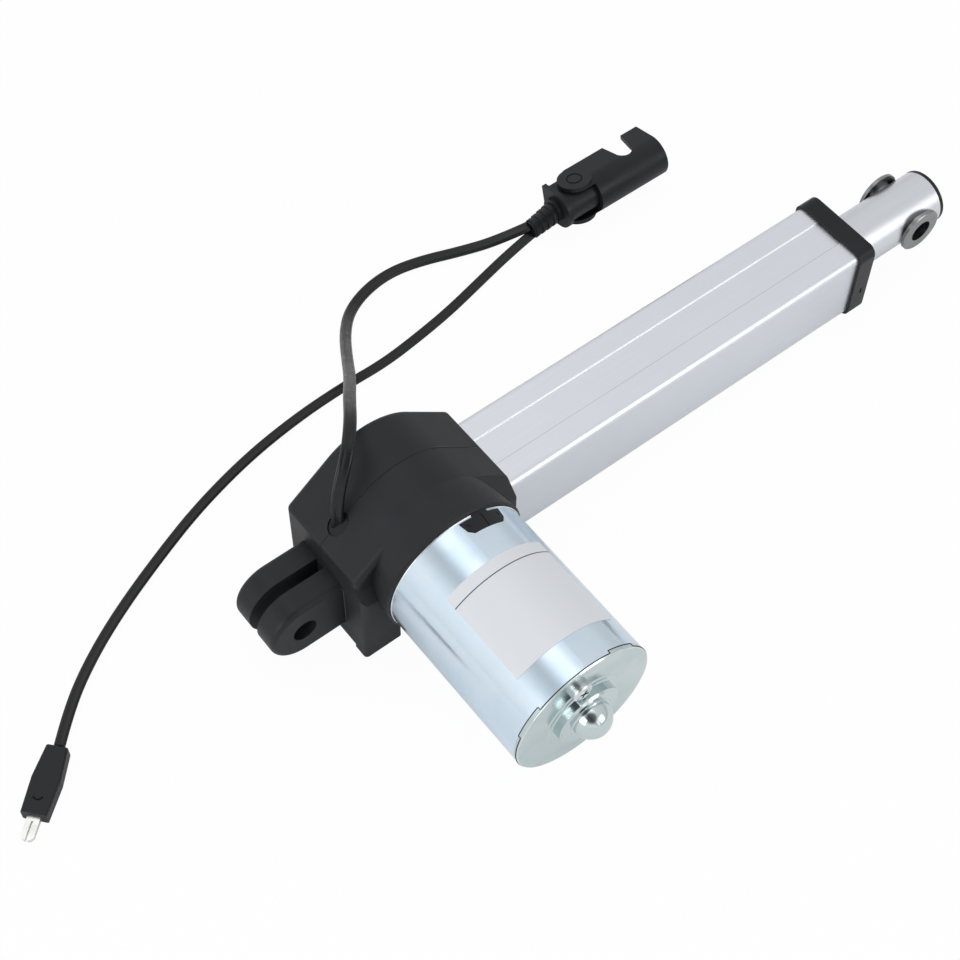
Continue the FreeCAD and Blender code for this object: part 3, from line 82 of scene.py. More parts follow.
class Tree:
    """A node tree, filled a node at a time."""

    def __init__(self, tree: bpy.types.NodeTree) -> None:
        """Empties the tree.

        Args:
            tree: A material's or the world's own tree.
        """
        self.tree = tree
        self.tree.nodes.clear()

    def add(self, kind: str, **values: object) -> bpy.types.Node:
        """Adds a node and sets its properties and unlinked sockets.

        Args:
            kind: The node's type without the ShaderNode prefix.
            **values: Properties by name, or socket values by name with _ for a space.

        Returns:
            The new node.
        """
        node = self.tree.nodes.new("ShaderNode" + kind)
        for key, value in values.items():
            if hasattr(node, key):
                setattr(node, key, value)
            else:
                node.inputs[key.replace("_", " ")].default_value = value
        return node

    def link(self, source: Socket, target: Socket) -> None:
        """Joins an output to an input.

        Args:
            source: The output socket.
            target: The input socket.
        """
        self.tree.links.new(source, target)

    def space(self, scale: Point = (1.0, 1.0, 1.0), source: str = "Object") -> Socket:
        """The coordinates that a pattern is read in.

        Args:
            scale: Factors along their axes.
            source: Object, or UV for a pattern that follows a lead.

        Returns:
            The vector socket of the Mapping node.
        """
        place = self.add("TexCoord")
        mapping = self.add("Mapping", Scale=scale)
        self.link(place.outputs[source], mapping.inputs["Vector"])
        return mapping.outputs["Vector"]

    def along_y(self) -> Socket:
        """How far along Y a point lies in the object's own coordinates.

        Returns:
            The Y socket.
        """
        parts = self.add("SeparateXYZ")
        self.link(self.space(), parts.inputs[0])
        return parts.outputs[1]

    def arithmetic(self, operation: str, first: Socket, second: Socket | float = 0.0) -> Socket:
        """One step of arithmetic.

        Args:
            operation: The Math node's operation.
            first: A value's socket.
            second: Another socket, or a number.

        Returns:
            The result socket.
        """
        node = self.add("Math", operation=operation)
        self.link(first, node.inputs[0])
        if isinstance(second, Socket):
            self.link(second, node.inputs[1])
        else:
            node.inputs[1].default_value = second
        return node.outputs[0]

    def band(self, value: Socket, middle: float, half: float) -> Socket:
        """A soft-edged stripe: 1 within a half width of the middle, fading to 0 outside.

        Args:
            value: A coordinate's socket.
            middle: Where the stripe lies.
            half: Half its width.

        Returns:
            The factor socket.
        """
        away = self.arithmetic("ABSOLUTE", self.arithmetic("SUBTRACT", value, middle))
        return self.remap(away, half, STRIPE_FADE * half, 1.0, 0.0)

    def curve(self, value: Socket, stops: tuple[Pair, ...]) -> Socket:
        """Carries a value between 0 and 1 through a smooth curve of levels between 0 and 1.

        Args:
            value: The value's socket.
            stops: Places and their levels, in order. A new ramp has the first two already.

        Returns:
            The level's socket.
        """
        node = self.add("ValToRGB")
        ramp = node.color_ramp
        ramp.interpolation = "EASE"
        for number, (place, level) in enumerate(stops):
            stop = ramp.elements[number] if number < 2 else ramp.elements.new(place)
            stop.position = place
            stop.color = (level, level, level, 1.0)
        self.link(value, node.inputs[0])
        return node.outputs[0]

    def noise(self, vector: Socket, scale: float, detail: float = 3.0, rough: float = 0.5) -> Socket:
        """A noise pattern's grey value.

        Args:
            vector: Where the pattern is read.
            scale: Cells per metre.
            detail: Octaves.
            rough: Strength of the finer octaves.

        Returns:
            The factor socket.
        """
        node = self.add("TexNoise", Scale=scale, Detail=detail, Roughness=rough)
        self.link(vector, node.inputs["Vector"])
        return node.outputs["Fac"]

    def remap(self, value: Socket, low: float, high: float, to_low: float, to_high: float) -> Socket:
        """Carries a value from one range to another, held at both ends.

        Args:
            value: The value's socket.
            low: Start of the range that is read.
            high: End of the range that is read.
            to_low: What the start becomes.
            to_high: What the end becomes.

        Returns:
            The result socket.
        """
        node = self.add("MapRange", clamp=True)
        for socket, number in zip(node.inputs[1:5], (low, high, to_low, to_high)):
            socket.default_value = number
        self.link(value, node.inputs[0])
        return node.outputs[0]

    def two_colours(self, factor: Socket, first: Colour | Socket, second: Colour) -> Socket:
        """Blends two colours by a factor.

        Args:
            factor: 0 gives the first colour and 1 the second.
            first: A linear colour, or a colour socket.
            second: A linear colour.

        Returns:
            The colour socket.
        """
        node = self.add("Mix", data_type="RGBA")
        self.link(factor, node.inputs[0])
        if isinstance(first, Socket):
            self.link(first, node.inputs[6])
        else:
            node.inputs[6].default_value = (*first, 1.0)
        node.inputs[7].default_value = (*second, 1.0)
        return node.outputs[2]

    def tints(self, factor: Socket, colour: Colour, ends: Pair) -> Socket:
        """Blends two tints of one colour by a factor.

        Args:
            factor: 0 gives the first tint and 1 the second.
            colour: A linear colour.
            ends: The two tints, as multiples of the colour.

        Returns:
            The colour socket.
        """
        return self.two_colours(factor, shade(colour, ends[0]), shade(colour, ends[1]))

    def sheen(self, pattern: Socket, roughness: float, swing: Pair, spread: Pair = NOISE_SPREAD) -> Socket:
        """A roughness that wanders with a noise pattern.

        Args:
            pattern: The noise pattern's socket.
            roughness: The finish's own roughness.
            swing: How far it goes below that, and above it.
            spread: The pattern's values at those two ends.

        Returns:
            The roughness socket.
        """
        return self.remap(pattern, *spread, roughness - swing[0], roughness + swing[1])

    def mix(self, factor: Socket, first: Socket, second: Socket) -> Socket:
        """Blends two shaders by a factor.

        Args:
            factor: 0 gives the first shader and 1 the second.
            first: A shader's socket.
            second: Another shader's socket.

        Returns:
            The blended shader's socket.
        """
        node = self.add("MixShader")
        for source, target in zip((factor, first, second), node.inputs):
            self.link(source, target)
        return node.outputs[0]

    def bump(self, height: Socket, depth: float, before: Socket | None = None) -> Socket:
        """Raises the surface by a height pattern.

        Args:
            height: A pattern between 0 and 1.
            depth: What a height of 1 means, in metres.
            before: A normal that this one builds on.

        Returns:
            The normal socket.
        """
        node = self.add("Bump", Strength=1.0, Distance=depth)
        self.link(height, node.inputs["Height"])
        if before is not None:
            self.link(before, node.inputs["Normal"])
        return node.outputs["Normal"]


class Surface(Tree):
    """A material's tree, with its output and a Principled shader."""

    def __init__(self, name: str) -> None:
        """Starts a new material.

        Args:
            name: The material's name.
        """
        self.material = bpy.data.materials.new(name)
        self.material.use_nodes = True
        super().__init__(self.material.node_tree)
        self.output = self.add("OutputMaterial")
        self.shader = self.add("BsdfPrincipled")
        self.link(self.shader.outputs[0], self.output.inputs["Surface"])

    def set(self, **values: object) -> None:
        """Sets sockets of the Principled shader, or links a socket to them.

        Args:
            **values: Values or output sockets by the input's name, with _ for a space.
        """
        for key, value in values.items():
            target = self.shader.inputs[key.replace("_", " ")]
            if isinstance(value, Socket):
                self.link(value, target)
            elif isinstance(value, tuple) and len(value) == 3:
                target.default_value = (*value, 1.0)
            else:
                target.default_value = value


def shade(colour: Colour, factor: float) -> Colour:
    """A colour made lighter or darker by a factor.

    Args:
        colour: A linear colour.
        factor: More than 1 is lighter.

    Returns:
        The new colour, at most 1 in each part.
    """
    return tuple(min(1.0, part * factor) for part in colour)


@dataclass(frozen=True)
class MouldedPlastic:
    """Black or natural plastic with the fine spark-eroded grain of its mould."""

    name: str
    colour: Colour = (0.020, 0.020, 0.022)
    roughness: float = 0.50
    grain: float = 0.00022
    depth: float = 0.000016
    specular: float = 0.26
    parting: float = 0.0
    # How dark the painted shade along the parting line is, as a share of the colour.
    parting_shade: float = 0.2
    parting_depth: float = 0.7
    clouds_per_metre: float = 45.0
    tints: Pair = (0.86, 1.16)
    swing: Pair = (0.05, 0.07)

    def make(self) -> Material:
        """Builds the material: fine grain, slow clouds of colour and sheen, and the mould's parting line.

        The parting line's half width is parting, and its depth is a share of that; its colour there is darkened
        as painted shade.

        Returns:
            The material.
        """
        tree = Surface(self.name)
        space = tree.space()
        fine = tree.noise(space, 1 / self.grain, detail=2.0, rough=0.6)
        broad = tree.noise(space, self.clouds_per_metre)
        colour = tree.tints(tree.remap(broad, *CLOUD_SPREAD, 0.0, 1.0), self.colour, self.tints)
        normal = tree.bump(fine, self.depth)
        if self.parting:
            # Painted shade: the colour along the parting line's groove is darkened.
            line = tree.band(tree.along_y(), 0.0, self.parting)
            colour = tree.two_colours(line, colour, shade(self.colour, self.parting_shade))
            normal = tree.bump(line, -self.parting_depth * self.parting, normal)
        tree.set(
            Base_Color=colour,
            Roughness=tree.sheen(broad, self.roughness, self.swing),
            Specular_IOR_Level=self.specular,
            Normal=normal,
        )
        return tree.material


@dataclass(frozen=True)
class DrawnMetal:
    """Extruded or drawn metal, with long thin lines the way it was drawn."""

    name: str
    colour: Colour
    way: Across
    roughness: float = 0.32
    line: float = 0.0006
    depth: float = 0.000006
    edges: tuple[Point, ...] = ()
    clouds_per_metre: float = 30.0
    tints: Pair = (0.95, 1.04)
    swing: Pair = (0.05, 0.05)

    def make(self) -> Material:
        """Builds the material: stretched noise for the lines, a cloudy roughness, and painted light and shade
        along step edges.

        Each painted edge has its place across the piece, its half width, and how much lighter it is than the
        rest: above 1 is a painted highlight, below 1 painted shade.

        Returns:
            The material.
        """
        tree = Surface(self.name)
        lines = tree.noise(tree.space(self.way.value), 1 / self.line, detail=4.0, rough=0.6)
        clouds = tree.noise(tree.space(), self.clouds_per_metre, detail=2.0)
        colour = tree.tints(lines, self.colour, self.tints)
        # Painted highlight or painted shade in a stripe along each edge.
        for middle, half, factor in self.edges:
            edge = tree.band(tree.along_y(), middle, half)
            colour = tree.two_colours(edge, colour, shade(self.colour, factor))
        tree.set(
            Base_Color=colour,
            Roughness=tree.sheen(clouds, self.roughness, self.swing),
            Metallic=1.0,
            Normal=tree.bump(lines, self.depth),
        )
        return tree.material


@dataclass(frozen=True)
class ZincPlate:
    """Bright zinc over pressed steel: cool, a little cloudy, with faint bluish patches."""

    name: str
    colour: Colour = (0.80, 0.86, 0.88)
    patch: Colour = (0.66, 0.78, 0.84)
    roughness: float = 0.20
    way: Across = Across.ALONG_MOTOR
    wave: float = 0.00012
    waves_per_metre: float = 60.0
    crystal: float = 0.0005
    crystal_depth: float = 0.00001
    lines_per_metre: float = 900.0
    line_depth: float = 0.000004
    patches_per_metre: float = 38.0
    patch_spread: Pair = (0.42, 0.68)
    swing: Pair = (0.05, 0.08)

    def make(self) -> Material:
        """Builds the material: patches of tint, drawing lines, small waves of the sheet, and zinc crystals.

        Returns:
            The material.
        """
        tree = Surface(self.name)
        drawn = tree.space(self.way.value)
        clouds = tree.noise(tree.space(), self.patches_per_metre, detail=4.0, rough=0.6)
        lines = tree.noise(drawn, self.lines_per_metre, rough=0.6)
        waves = tree.noise(drawn, self.waves_per_metre, detail=1.0)
        crystals = tree.noise(tree.space(), 1 / self.crystal, rough=0.7)
        patches = tree.remap(clouds, *self.patch_spread, 0.0, 1.0)
        normal = tree.bump(crystals, self.crystal_depth, tree.bump(waves, self.wave))
        tree.set(
            Base_Color=tree.two_colours(patches, self.colour, self.patch),
            Roughness=tree.sheen(clouds, self.roughness, self.swing),
            Metallic=1.0,
            Normal=tree.bump(lines, self.line_depth, normal),
        )
        return tree.material


@dataclass(frozen=True)
class PlainMetal:
    """Ground, turned or sintered metal with a fine speckle."""

    name: str
    colour: Colour
    roughness: float = 0.35
    speckle: float = 0.0003
    depth: float = 0.000008
    clouds_per_metre: float = 120.0
    tints: Pair = (0.86, 1.08)
    swing: Pair = (0.06, 0.08)

    def make(self) -> Material:
        """Builds the material: a fine speckle in height and sheen, and small clouds of colour.

        Returns:
            The material.
        """
        tree = Surface(self.name)
        fine = tree.noise(tree.space(), 1 / self.speckle, rough=0.6)
        broad = tree.noise(tree.space(), self.clouds_per_metre)
        clouds = tree.remap(broad, *CLOUD_SPREAD, 0.0, 1.0)
        tree.set(
            Base_Color=tree.tints(clouds, self.colour, self.tints),
            Roughness=tree.sheen(fine, self.roughness, self.swing),
            Metallic=1.0,
            Normal=tree.bump(fine, self.depth),
        )
        return tree.material


@dataclass(frozen=True)
class LeadJacket:
    """Soft black jacket of a flat twin lead, smoother and glossier than the moulded plastic."""

    name: str
    colour: Colour = (0.0085, 0.0088, 0.0100)
    roughness: float = 0.30
    specular: float = 0.32
    stretch: Point = (0.2, 30.0, 1.0)
    line_scale: float = 6.0
    line_depth: float = 0.00002
    dust_per_metre: float = 260.0
    dust_spread: Pair = (0.35, 0.7)
    tints: Pair = (0.8, 1.4)
    swing: Pair = (0.06, 0.10)

    def make(self) -> Material:
        """Builds the material: long drawing lines on the piece's own UV, and dust in the sheen.

        Returns:
            The material.
        """
        tree = Surface(self.name)
        lines = tree.noise(tree.space(self.stretch, "UV"), self.line_scale, rough=0.6)
        dust = tree.noise(tree.space(), self.dust_per_metre, detail=4.0, rough=0.6)
        tree.set(
            Base_Color=tree.tints(dust, self.colour, self.tints),
            Roughness=tree.sheen(dust, self.roughness, self.swing, self.dust_spread),
            Specular_IOR_Level=self.specular,
            Normal=tree.bump(lines, self.line_depth),
        )
        return tree.material


@dataclass(frozen=True)
class BareSticker:
    """White film with one thin printed rule and nothing else on it."""

    name: str
    rule_y: float = -0.0582
    rule_half: float = 0.00016
    paper: Colour = (0.73, 0.75, 0.79)
    ink: Colour = (0.05, 0.05, 0.055)
    roughness: float = 0.40
    fibres_per_metre: float = 700.0
    fibre_depth: float = 0.000006
    swing: Pair = (0.06, 0.06)

    def make(self) -> Material:
        """Builds the material: a band where |y - rule_y| is under the rule's half width is ink.

        Returns:
            The material.
        """
        tree = Surface(self.name)
        band = tree.band(tree.along_y(), self.rule_y, self.rule_half)
        fibre = tree.noise(tree.space(), self.fibres_per_metre)
        tree.set(
            Base_Color=tree.two_colours(band, self.paper, self.ink),
            Roughness=tree.sheen(fibre, self.roughness, self.swing),
            Normal=tree.bump(fibre, self.fibre_depth),
        )
        return tree.material


def mesh_piece(
    name: str, points: np.ndarray, faces: list[list[int]], material: Material, smooth: bool = True,
) -> bpy.types.Object:
    """Puts points and faces into a new object at the origin.

    Args:
        name: The object's name.
        points: N by 3 array, in metres.
        faces: Point numbers of each face, turned outwards.
        material: What the piece is made of.
        smooth: Whether the faces are shaded smooth.

    Returns:
        The object, in the scene.
    """
    mesh = bpy.data.meshes.new(name)
    mesh.from_pydata(points.tolist(), [], faces)
    mesh.polygons.foreach_set("use_smooth", np.full(len(mesh.polygons), smooth))
    mesh.update()
    mesh.validate()
    mesh.materials.append(material)
    piece = bpy.data.objects.new(name, mesh)
    bpy.context.scene.collection.objects.link(piece)
    return piece


def ring_faces(rings: int, around: int, closed: bool) -> list[list[int]]:
    """Faces between rings of points, each ring closed on itself.

    Args:
        rings: How many rings there are.
        around: Points in each ring.
        closed: Whether the last ring is joined to the first.

    Returns:
        Four-cornered faces.
    """
    row = np.arange(rings if closed else rings - 1)[:, None] * around
    next_row = (row + around) % (rings * around)
    here = np.arange(around)[None, :]
    after = (here + 1) % around
    corners = [row + here, row + after, next_row + after, next_row + here]
    return np.stack(corners, -1).reshape(-1, 4).tolist()


def round_section(radius: float, around: int = 8) -> np.ndarray:
    """A circle.

    Args:
        radius: In metres.
        around: How many points it has.

    Returns:
        Points (across, up).
    """
    turn = np.linspace(0, 2 * np.pi, around, endpoint=False)
    return radius * np.stack([np.cos(turn), np.sin(turn)], 1)


def flat_section(width: float, height: float) -> np.ndarray:
    """A rectangle.

    Args:
        width: Across, in metres.
        height: Up, in metres.

    Returns:
        Points (across, up).
    """
    return np.array([(width, -height), (width, height), (-width, height), (-width, -height)]) / 2


def swept(
    name: str, line: np.ndarray, sides: np.ndarray, section: np.ndarray, material: Material,
    closed: bool = False,
) -> bpy.types.Object:
    """Carries a section along a line. An open line gets a cap at each end.

    Args:
        name: The object's name.
        line: N by 3 points, in metres.
        sides: The way that the section's across points, one for all or one for each point.
        section: Points (across, up), anticlockwise.
        material: What the piece is made of.
        closed: Whether the line ends where it starts.

    Returns:
        The object.
    """
    ahead = np.roll(line, -1, axis=0) - np.roll(line, 1, axis=0) if closed else np.gradient(line, axis=0)
    ahead /= np.linalg.norm(ahead, axis=1)[:, None]
    across = sides - ahead * np.sum(sides * ahead, axis=1)[:, None]
    across /= np.linalg.norm(across, axis=1)[:, None]
    ups = np.cross(ahead, across)
    rings = line[:, None] + section[None, :, :1] * across[:, None] + section[None, :, 1:] * ups[:, None]
    points = rings.reshape(-1, 3)
    around = len(section)
    faces = ring_faces(len(line), around, closed)
    if not closed:
        here = np.arange(around)
        after = (here + 1) % around
        tip = np.full(around, len(points))
        last_ring = tip - around
        caps = [np.stack([tip, after, here], 1), np.stack([tip + 1, last_ring + here, last_ring + after], 1)]
        faces += np.stack(caps, 1).reshape(-1, 3).tolist()
        points = np.vstack([points, line[:1], line[-1:]])
    return mesh_piece(name, points, faces, material)


def fixed(piece: bpy.types.Object, body: Body) -> None:
    """Lets a piece ride on a body, and logs which body.

    Args:
        piece: The piece.
        body: What it moves with.
    """
    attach(piece, body.value)
    LOG.info("%s rides on %s", piece.name, body.value)


@dataclass
class FlatLead:
    """A flat twin lead that follows a route, with a groove between its two cores."""

    name: str
    nodes: tuple[str, ...]
    width: float
    thickness: float
    groove: float
    route: tuple[Point, ...]
    side: Point = (0.0, 1.0, 0.0)
    around: int = 28
    steps: int = 14
    core_bulge: float = 3.0
    groove_width: float = 0.2
    length: float = field(default=0.0, init=False)
    path: np.ndarray | None = field(default=None, init=False)

    def line(self) -> np.ndarray:
        """The smooth line of the lead: a NURBS spline whose control points are the route.

        Returns:
            Points along the spline, in metres.
        """
        curve = bpy.data.curves.new(self.name + "_line", "CURVE")
        curve.dimensions = "3D"
        spline = curve.splines.new("NURBS")
        spline.points.add(len(self.route) - 1)
        for control, place in zip(spline.points, self.route):
            control.co = (*(MM * part for part in place), 1.0)
        spline.order_u = 3
        spline.use_endpoint_u = True
        spline.resolution_u = self.steps
        holder = bpy.data.objects.new(self.name + "_line", curve)
        bpy.context.scene.collection.objects.link(holder)
        mesh = bpy.data.meshes.new_from_object(holder)
        points = np.array([vertex.co for vertex in mesh.vertices], float)
        bpy.data.objects.remove(holder)
        bpy.data.meshes.remove(mesh)
        return points

    def section(self) -> np.ndarray:
        """Half width and half height round the lead: a stadium pinched by a groove at its middle.

        The hyperbolic tangent of the cosine carries the two round cores out to the sides, and a bell curve
        of the place across takes the groove's share from the height.

        Returns:
            Points (across, up) round the section.
        """
        turn = np.linspace(0, 2 * np.pi, self.around, endpoint=False)
        core = self.thickness / 2
        spread = np.tanh(self.core_bulge * np.cos(turn))
        across = (self.width / 2 - core) * spread + core * np.cos(turn)
        pinch = 1 - self.groove * np.exp(-((across / (self.groove_width * self.width)) ** 2))
        return np.stack([across, core * np.sin(turn) * pinch], 1)

    def make(self, material: Material) -> bpy.types.Object:
        """Carries the section along the line, turning it as little as it can from the far end back.

        Args:
            material: The jacket.

        Returns:
            The lead's object.
        """
        points = self.line()
        along = np.gradient(points, axis=0)
        along /= np.linalg.norm(along, axis=1)[:, None]
        sides = np.empty_like(points)
        side = np.array(self.side)
        for i in range(len(points) - 1, -1, -1):
            side = side - along[i] * (side @ along[i])
            side /= np.linalg.norm(side)
            sides[i] = side
        piece = swept(self.name, points, sides, self.section(), material)
        travel = np.r_[0, np.cumsum(np.linalg.norm(np.diff(points, axis=0), axis=1))]
        layer = piece.data.uv_layers.new(name="lead")
        corners = np.empty(len(piece.data.loops), np.int32)
        piece.data.loops.foreach_get("vertex_index", corners)
        rows = np.minimum(corners // self.around, len(points) - 1)
        uv = np.stack([travel[rows] / self.width, (corners % self.around) / self.around], 1)
        layer.data.foreach_set("uv", uv.astype(np.float32).ravel())
        fixed(piece, Body.HOUSING)
        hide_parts(*self.nodes)
        self.length = float(travel[-1])
        self.path = points
        LOG.info("%s: %.1f mm long", self.name, self.length / MM)
        return piece


@dataclass
class Camera:
    """The photograph's camera, from the fit to the object's straight edges."""

    place: Point = (-0.16972, -0.32395, 0.63065)
    heading: float = 38.934
    dip: float = 56.528
    roll: float = 1.169
    lens: float = 72.788
    sensor: float = 36.0
    nearest: float = 0.01

    def make(self) -> None:
        """Adds the camera: forward is turned from +Y by the heading and down by the dip."""
        data = bpy.data.cameras.new("camera")
        data.lens = self.lens
        data.sensor_width = self.sensor
        data.sensor_fit = "HORIZONTAL"
        data.clip_start = self.nearest
        turn = Matrix.Rotation(math.radians(-self.heading), 4, "Z")
        tip = Matrix.Rotation(math.radians(90.0 - self.dip), 4, "X")
        lean = Matrix.Rotation(math.radians(self.roll), 4, "Z")
        camera = bpy.data.objects.new("camera", data)
        camera.matrix_world = Matrix.Translation(self.place) @ turn @ tip @ lean
        bpy.context.scene.collection.objects.link(camera)
        bpy.context.scene.camera = camera


@dataclass
class Studio:
    """Floor, light tent and soft boxes."""

    floor: float = -0.0230
    floor_colour: Colour = (0.94, 0.94, 0.94)
    floor_roughness: float = 0.9
    floor_specular: float = 0.1
    reach: float = 6.0
    world: float = 0.60
    shown_glow: float = 0.96
    gloss_glow: float = 0.15
    opening: Point = (-0.347, -0.429, 0.834)
    opening_dark: float = 0.12
    opening_edge: Pair = (0.80, 0.93)
    tent_peak: float = 1.5
    tent: tuple[Pair, ...] = (
        (-180.0, 0.55), (-97.0, 0.86), (-73.0, 0.98), (-61.0, 1.02), (-49.0, 0.92), (-38.0, 0.74),
        (-27.0, 0.60), (-20.0, 0.86), (-13.0, 1.3), (2.0, 1.5), (11.0, 1.2), (20.0, 0.84),
        (60.0, 0.80), (82.0, 0.68), (108.0, 0.56), (180.0, 0.62),
    )
    boxes: tuple[tuple[str, Point, float, float], ...] = (
        ("left", (-1.9, -0.2, 0.9), 1.2, 13.0),
        ("near", (0.95, -1.75, 0.95), 1.0, 9.0),
        ("top", (0.2, 0.5, 2.0), 1.5, 7.0),
    )
    hidden: tuple[str, ...] = ("top",)
    aim: Point = (0.1, 0.0, 0.0)

    def make(self) -> None:
        """Builds the floor, the white surround and the lamps."""
        self.make_floor()
        self.make_world()
        for name, place, size, power in self.boxes:
            self.soft_box(name, Vector(place), size, power)
        bpy.context.scene.view_settings.view_transform = "Standard"

    def make_floor(self) -> None:
        """A large plane that shows white but keeps the object's shadow."""
        far = self.reach
        corners = ((-far, -far), (far, -far), (far, far), (-far, far))
        points = np.array([(x, y, self.floor) for x, y in corners])
        tree = Surface("studio_floor")
        tree.set(
            Base_Color=self.floor_colour,
            Roughness=self.floor_roughness,
            Specular_IOR_Level=self.floor_specular,
        )
        path = tree.add("LightPath")
        glow = tree.add("Emission", Color=WHITE, Strength=1.0)
        shown = tree.remap(path.outputs["Is Camera Ray"], 0.0, 1.0, 0.0, self.shown_glow)
        gloss = tree.arithmetic("MAXIMUM", path.outputs["Is Glossy Ray"], path.outputs["Is Transmission Ray"])
        mirrored = tree.remap(gloss, 0.0, 1.0, 0.0, self.gloss_glow)
        share = tree.arithmetic("MAXIMUM", shown, mirrored)
        tree.link(tree.mix(share, tree.shader.outputs[0], glow.outputs[0]), tree.output.inputs["Surface"])
        floor = mesh_piece("studio_floor", points, [[0, 1, 2, 3]], tree.material, smooth=False)

    def make_world(self) -> None:
        """White to the eye, a light tent with seams to gloss, and a plain level of light for the rest."""
        world = bpy.data.worlds.new("studio")
        world.use_nodes = True
        bpy.context.scene.world = world
        tree = Tree(world.node_tree)
        path = tree.add("LightPath")
        light = tree.add("Background", Color=WHITE, Strength=self.world)
        shown = tree.add("Background", Color=WHITE, Strength=1.0)
        gloss = tree.add("Background", Color=WHITE)
        tree.link(self.tent_level(tree), gloss.inputs["Strength"])
        unseen = tree.mix(path.outputs["Is Glossy Ray"], light.outputs[0], gloss.outputs[0])
        seen = tree.arithmetic("MAXIMUM", path.outputs["Is Camera Ray"], path.outputs["Is Transmission Ray"])
        output = tree.add("OutputWorld")
        tree.link(tree.mix(seen, unseen, shown.outputs[0]), output.inputs["Surface"])

    def tent_level(self, tree: Tree) -> Socket:
        """How bright the tent is in a direction.

        The panels run along Y, so their brightness goes by the angle from the vertical towards the rod. The
        opening is where the direction's dot product with the opening's own direction is near 1.

        Args:
            tree: The world's tree.

        Returns:
            The level's socket.
        """
        place = tree.add("TexCoord").outputs["Generated"]
        parts = tree.add("SeparateXYZ")
        tree.link(place, parts.inputs[0])
        angle = tree.arithmetic("ARCTAN2", parts.outputs[0], parts.outputs[2])
        turn = tree.remap(angle, -math.pi, math.pi, 0.0, 1.0)
        stops = tuple(((degrees + 180.0) / 360.0, level / self.tent_peak) for degrees, level in self.tent)
        panels = tree.arithmetic("MULTIPLY", tree.curve(turn, stops), self.tent_peak)
        near = tree.add("VectorMath", operation="DOT_PRODUCT")
        near.inputs[1].default_value = Vector(self.opening).normalized()
        tree.link(place, near.inputs[0])
        opening = tree.remap(near.outputs["Value"], *self.opening_edge, 1.0, self.opening_dark)
        return tree.arithmetic("MULTIPLY", panels, opening)

    def soft_box(self, name: str, place: Vector, size: float, power: float) -> None:
        """Adds a square area lamp that faces the object.

        Args:
            name: The lamp's name.
            place: Where it hangs.
            size: Length of its side.
            power: Watts.
        """
        lamp = bpy.data.lights.new(name, "AREA")
        lamp.size = size
        lamp.energy = power
        holder = bpy.data.objects.new(name, lamp)
        holder.location = place
        holder.rotation_euler = (Vector(self.aim) - place).to_track_quat("-Z", "Y").to_euler()
        holder.visible_glossy = name not in self.hidden
        bpy.context.scene.collection.objects.link(holder)


@dataclass
class Leads:
    """The lead from the gearbox to the connector, and the thin one from there to the small plug."""

    motor_route: tuple[Point, ...] = (
        (26.0, 0.0, 25.5), (26.6, 1.4, 36.5), (30.0, 3.8, 47.5), (37.6, 8.6, 56.5),
        (46.4, 18.4, 58.5), (56.4, 33.8, 48.0), (69.8, 53.4, 29.0), (83.0, 75.4, 8.0),
        (96.0, 96.2, -9.0), (108.6, 111.6, -19.2), (122.0, 118.2, -21.0), (136.3, 119.9, -21.0),
        (151.0, 116.9, -21.0), (168.0, 110.6, -21.0), (184.0, 105.2, -20.2), (198.2, 100.6, -16.2),
    )
    supply_route: tuple[Point, ...] = (
        (197.7, 98.2, -19.0), (184.0, 96.8, -20.8), (164.0, 92.3, -21.2), (144.3, 87.6, -21.2),
        (126.1, 84.6, -21.2), (105.9, 82.1, -21.2), (85.6, 82.5, -21.2), (62.0, 81.4, -21.2),
        (34.5, 77.5, -21.2), (5.2, 69.6, -21.2), (-20.0, 59.7, -21.2), (-45.6, 48.2, -21.2),
        (-66.2, 36.6, -21.2), (-83.0, 24.0, -20.9), (-94.8, 11.5, -19.8),
    )

    def make(self) -> None:
        """Lays both leads, and logs their lengths."""
        jacket = LeadJacket("lead_jacket").make()
        motor = FlatLead(
            "lead_to_connector", ("motor_lead",),
            width=5.0 * MM, thickness=2.9 * MM, groove=0.34, route=self.motor_route,
        )
        supply = FlatLead(
            "lead_to_plug", ("supply_lead",),
            width=4.4 * MM, thickness=2.3 * MM, groove=0.40, route=self.supply_route,
        )
        piece = motor.make(jacket)
        piece = supply.make(jacket)


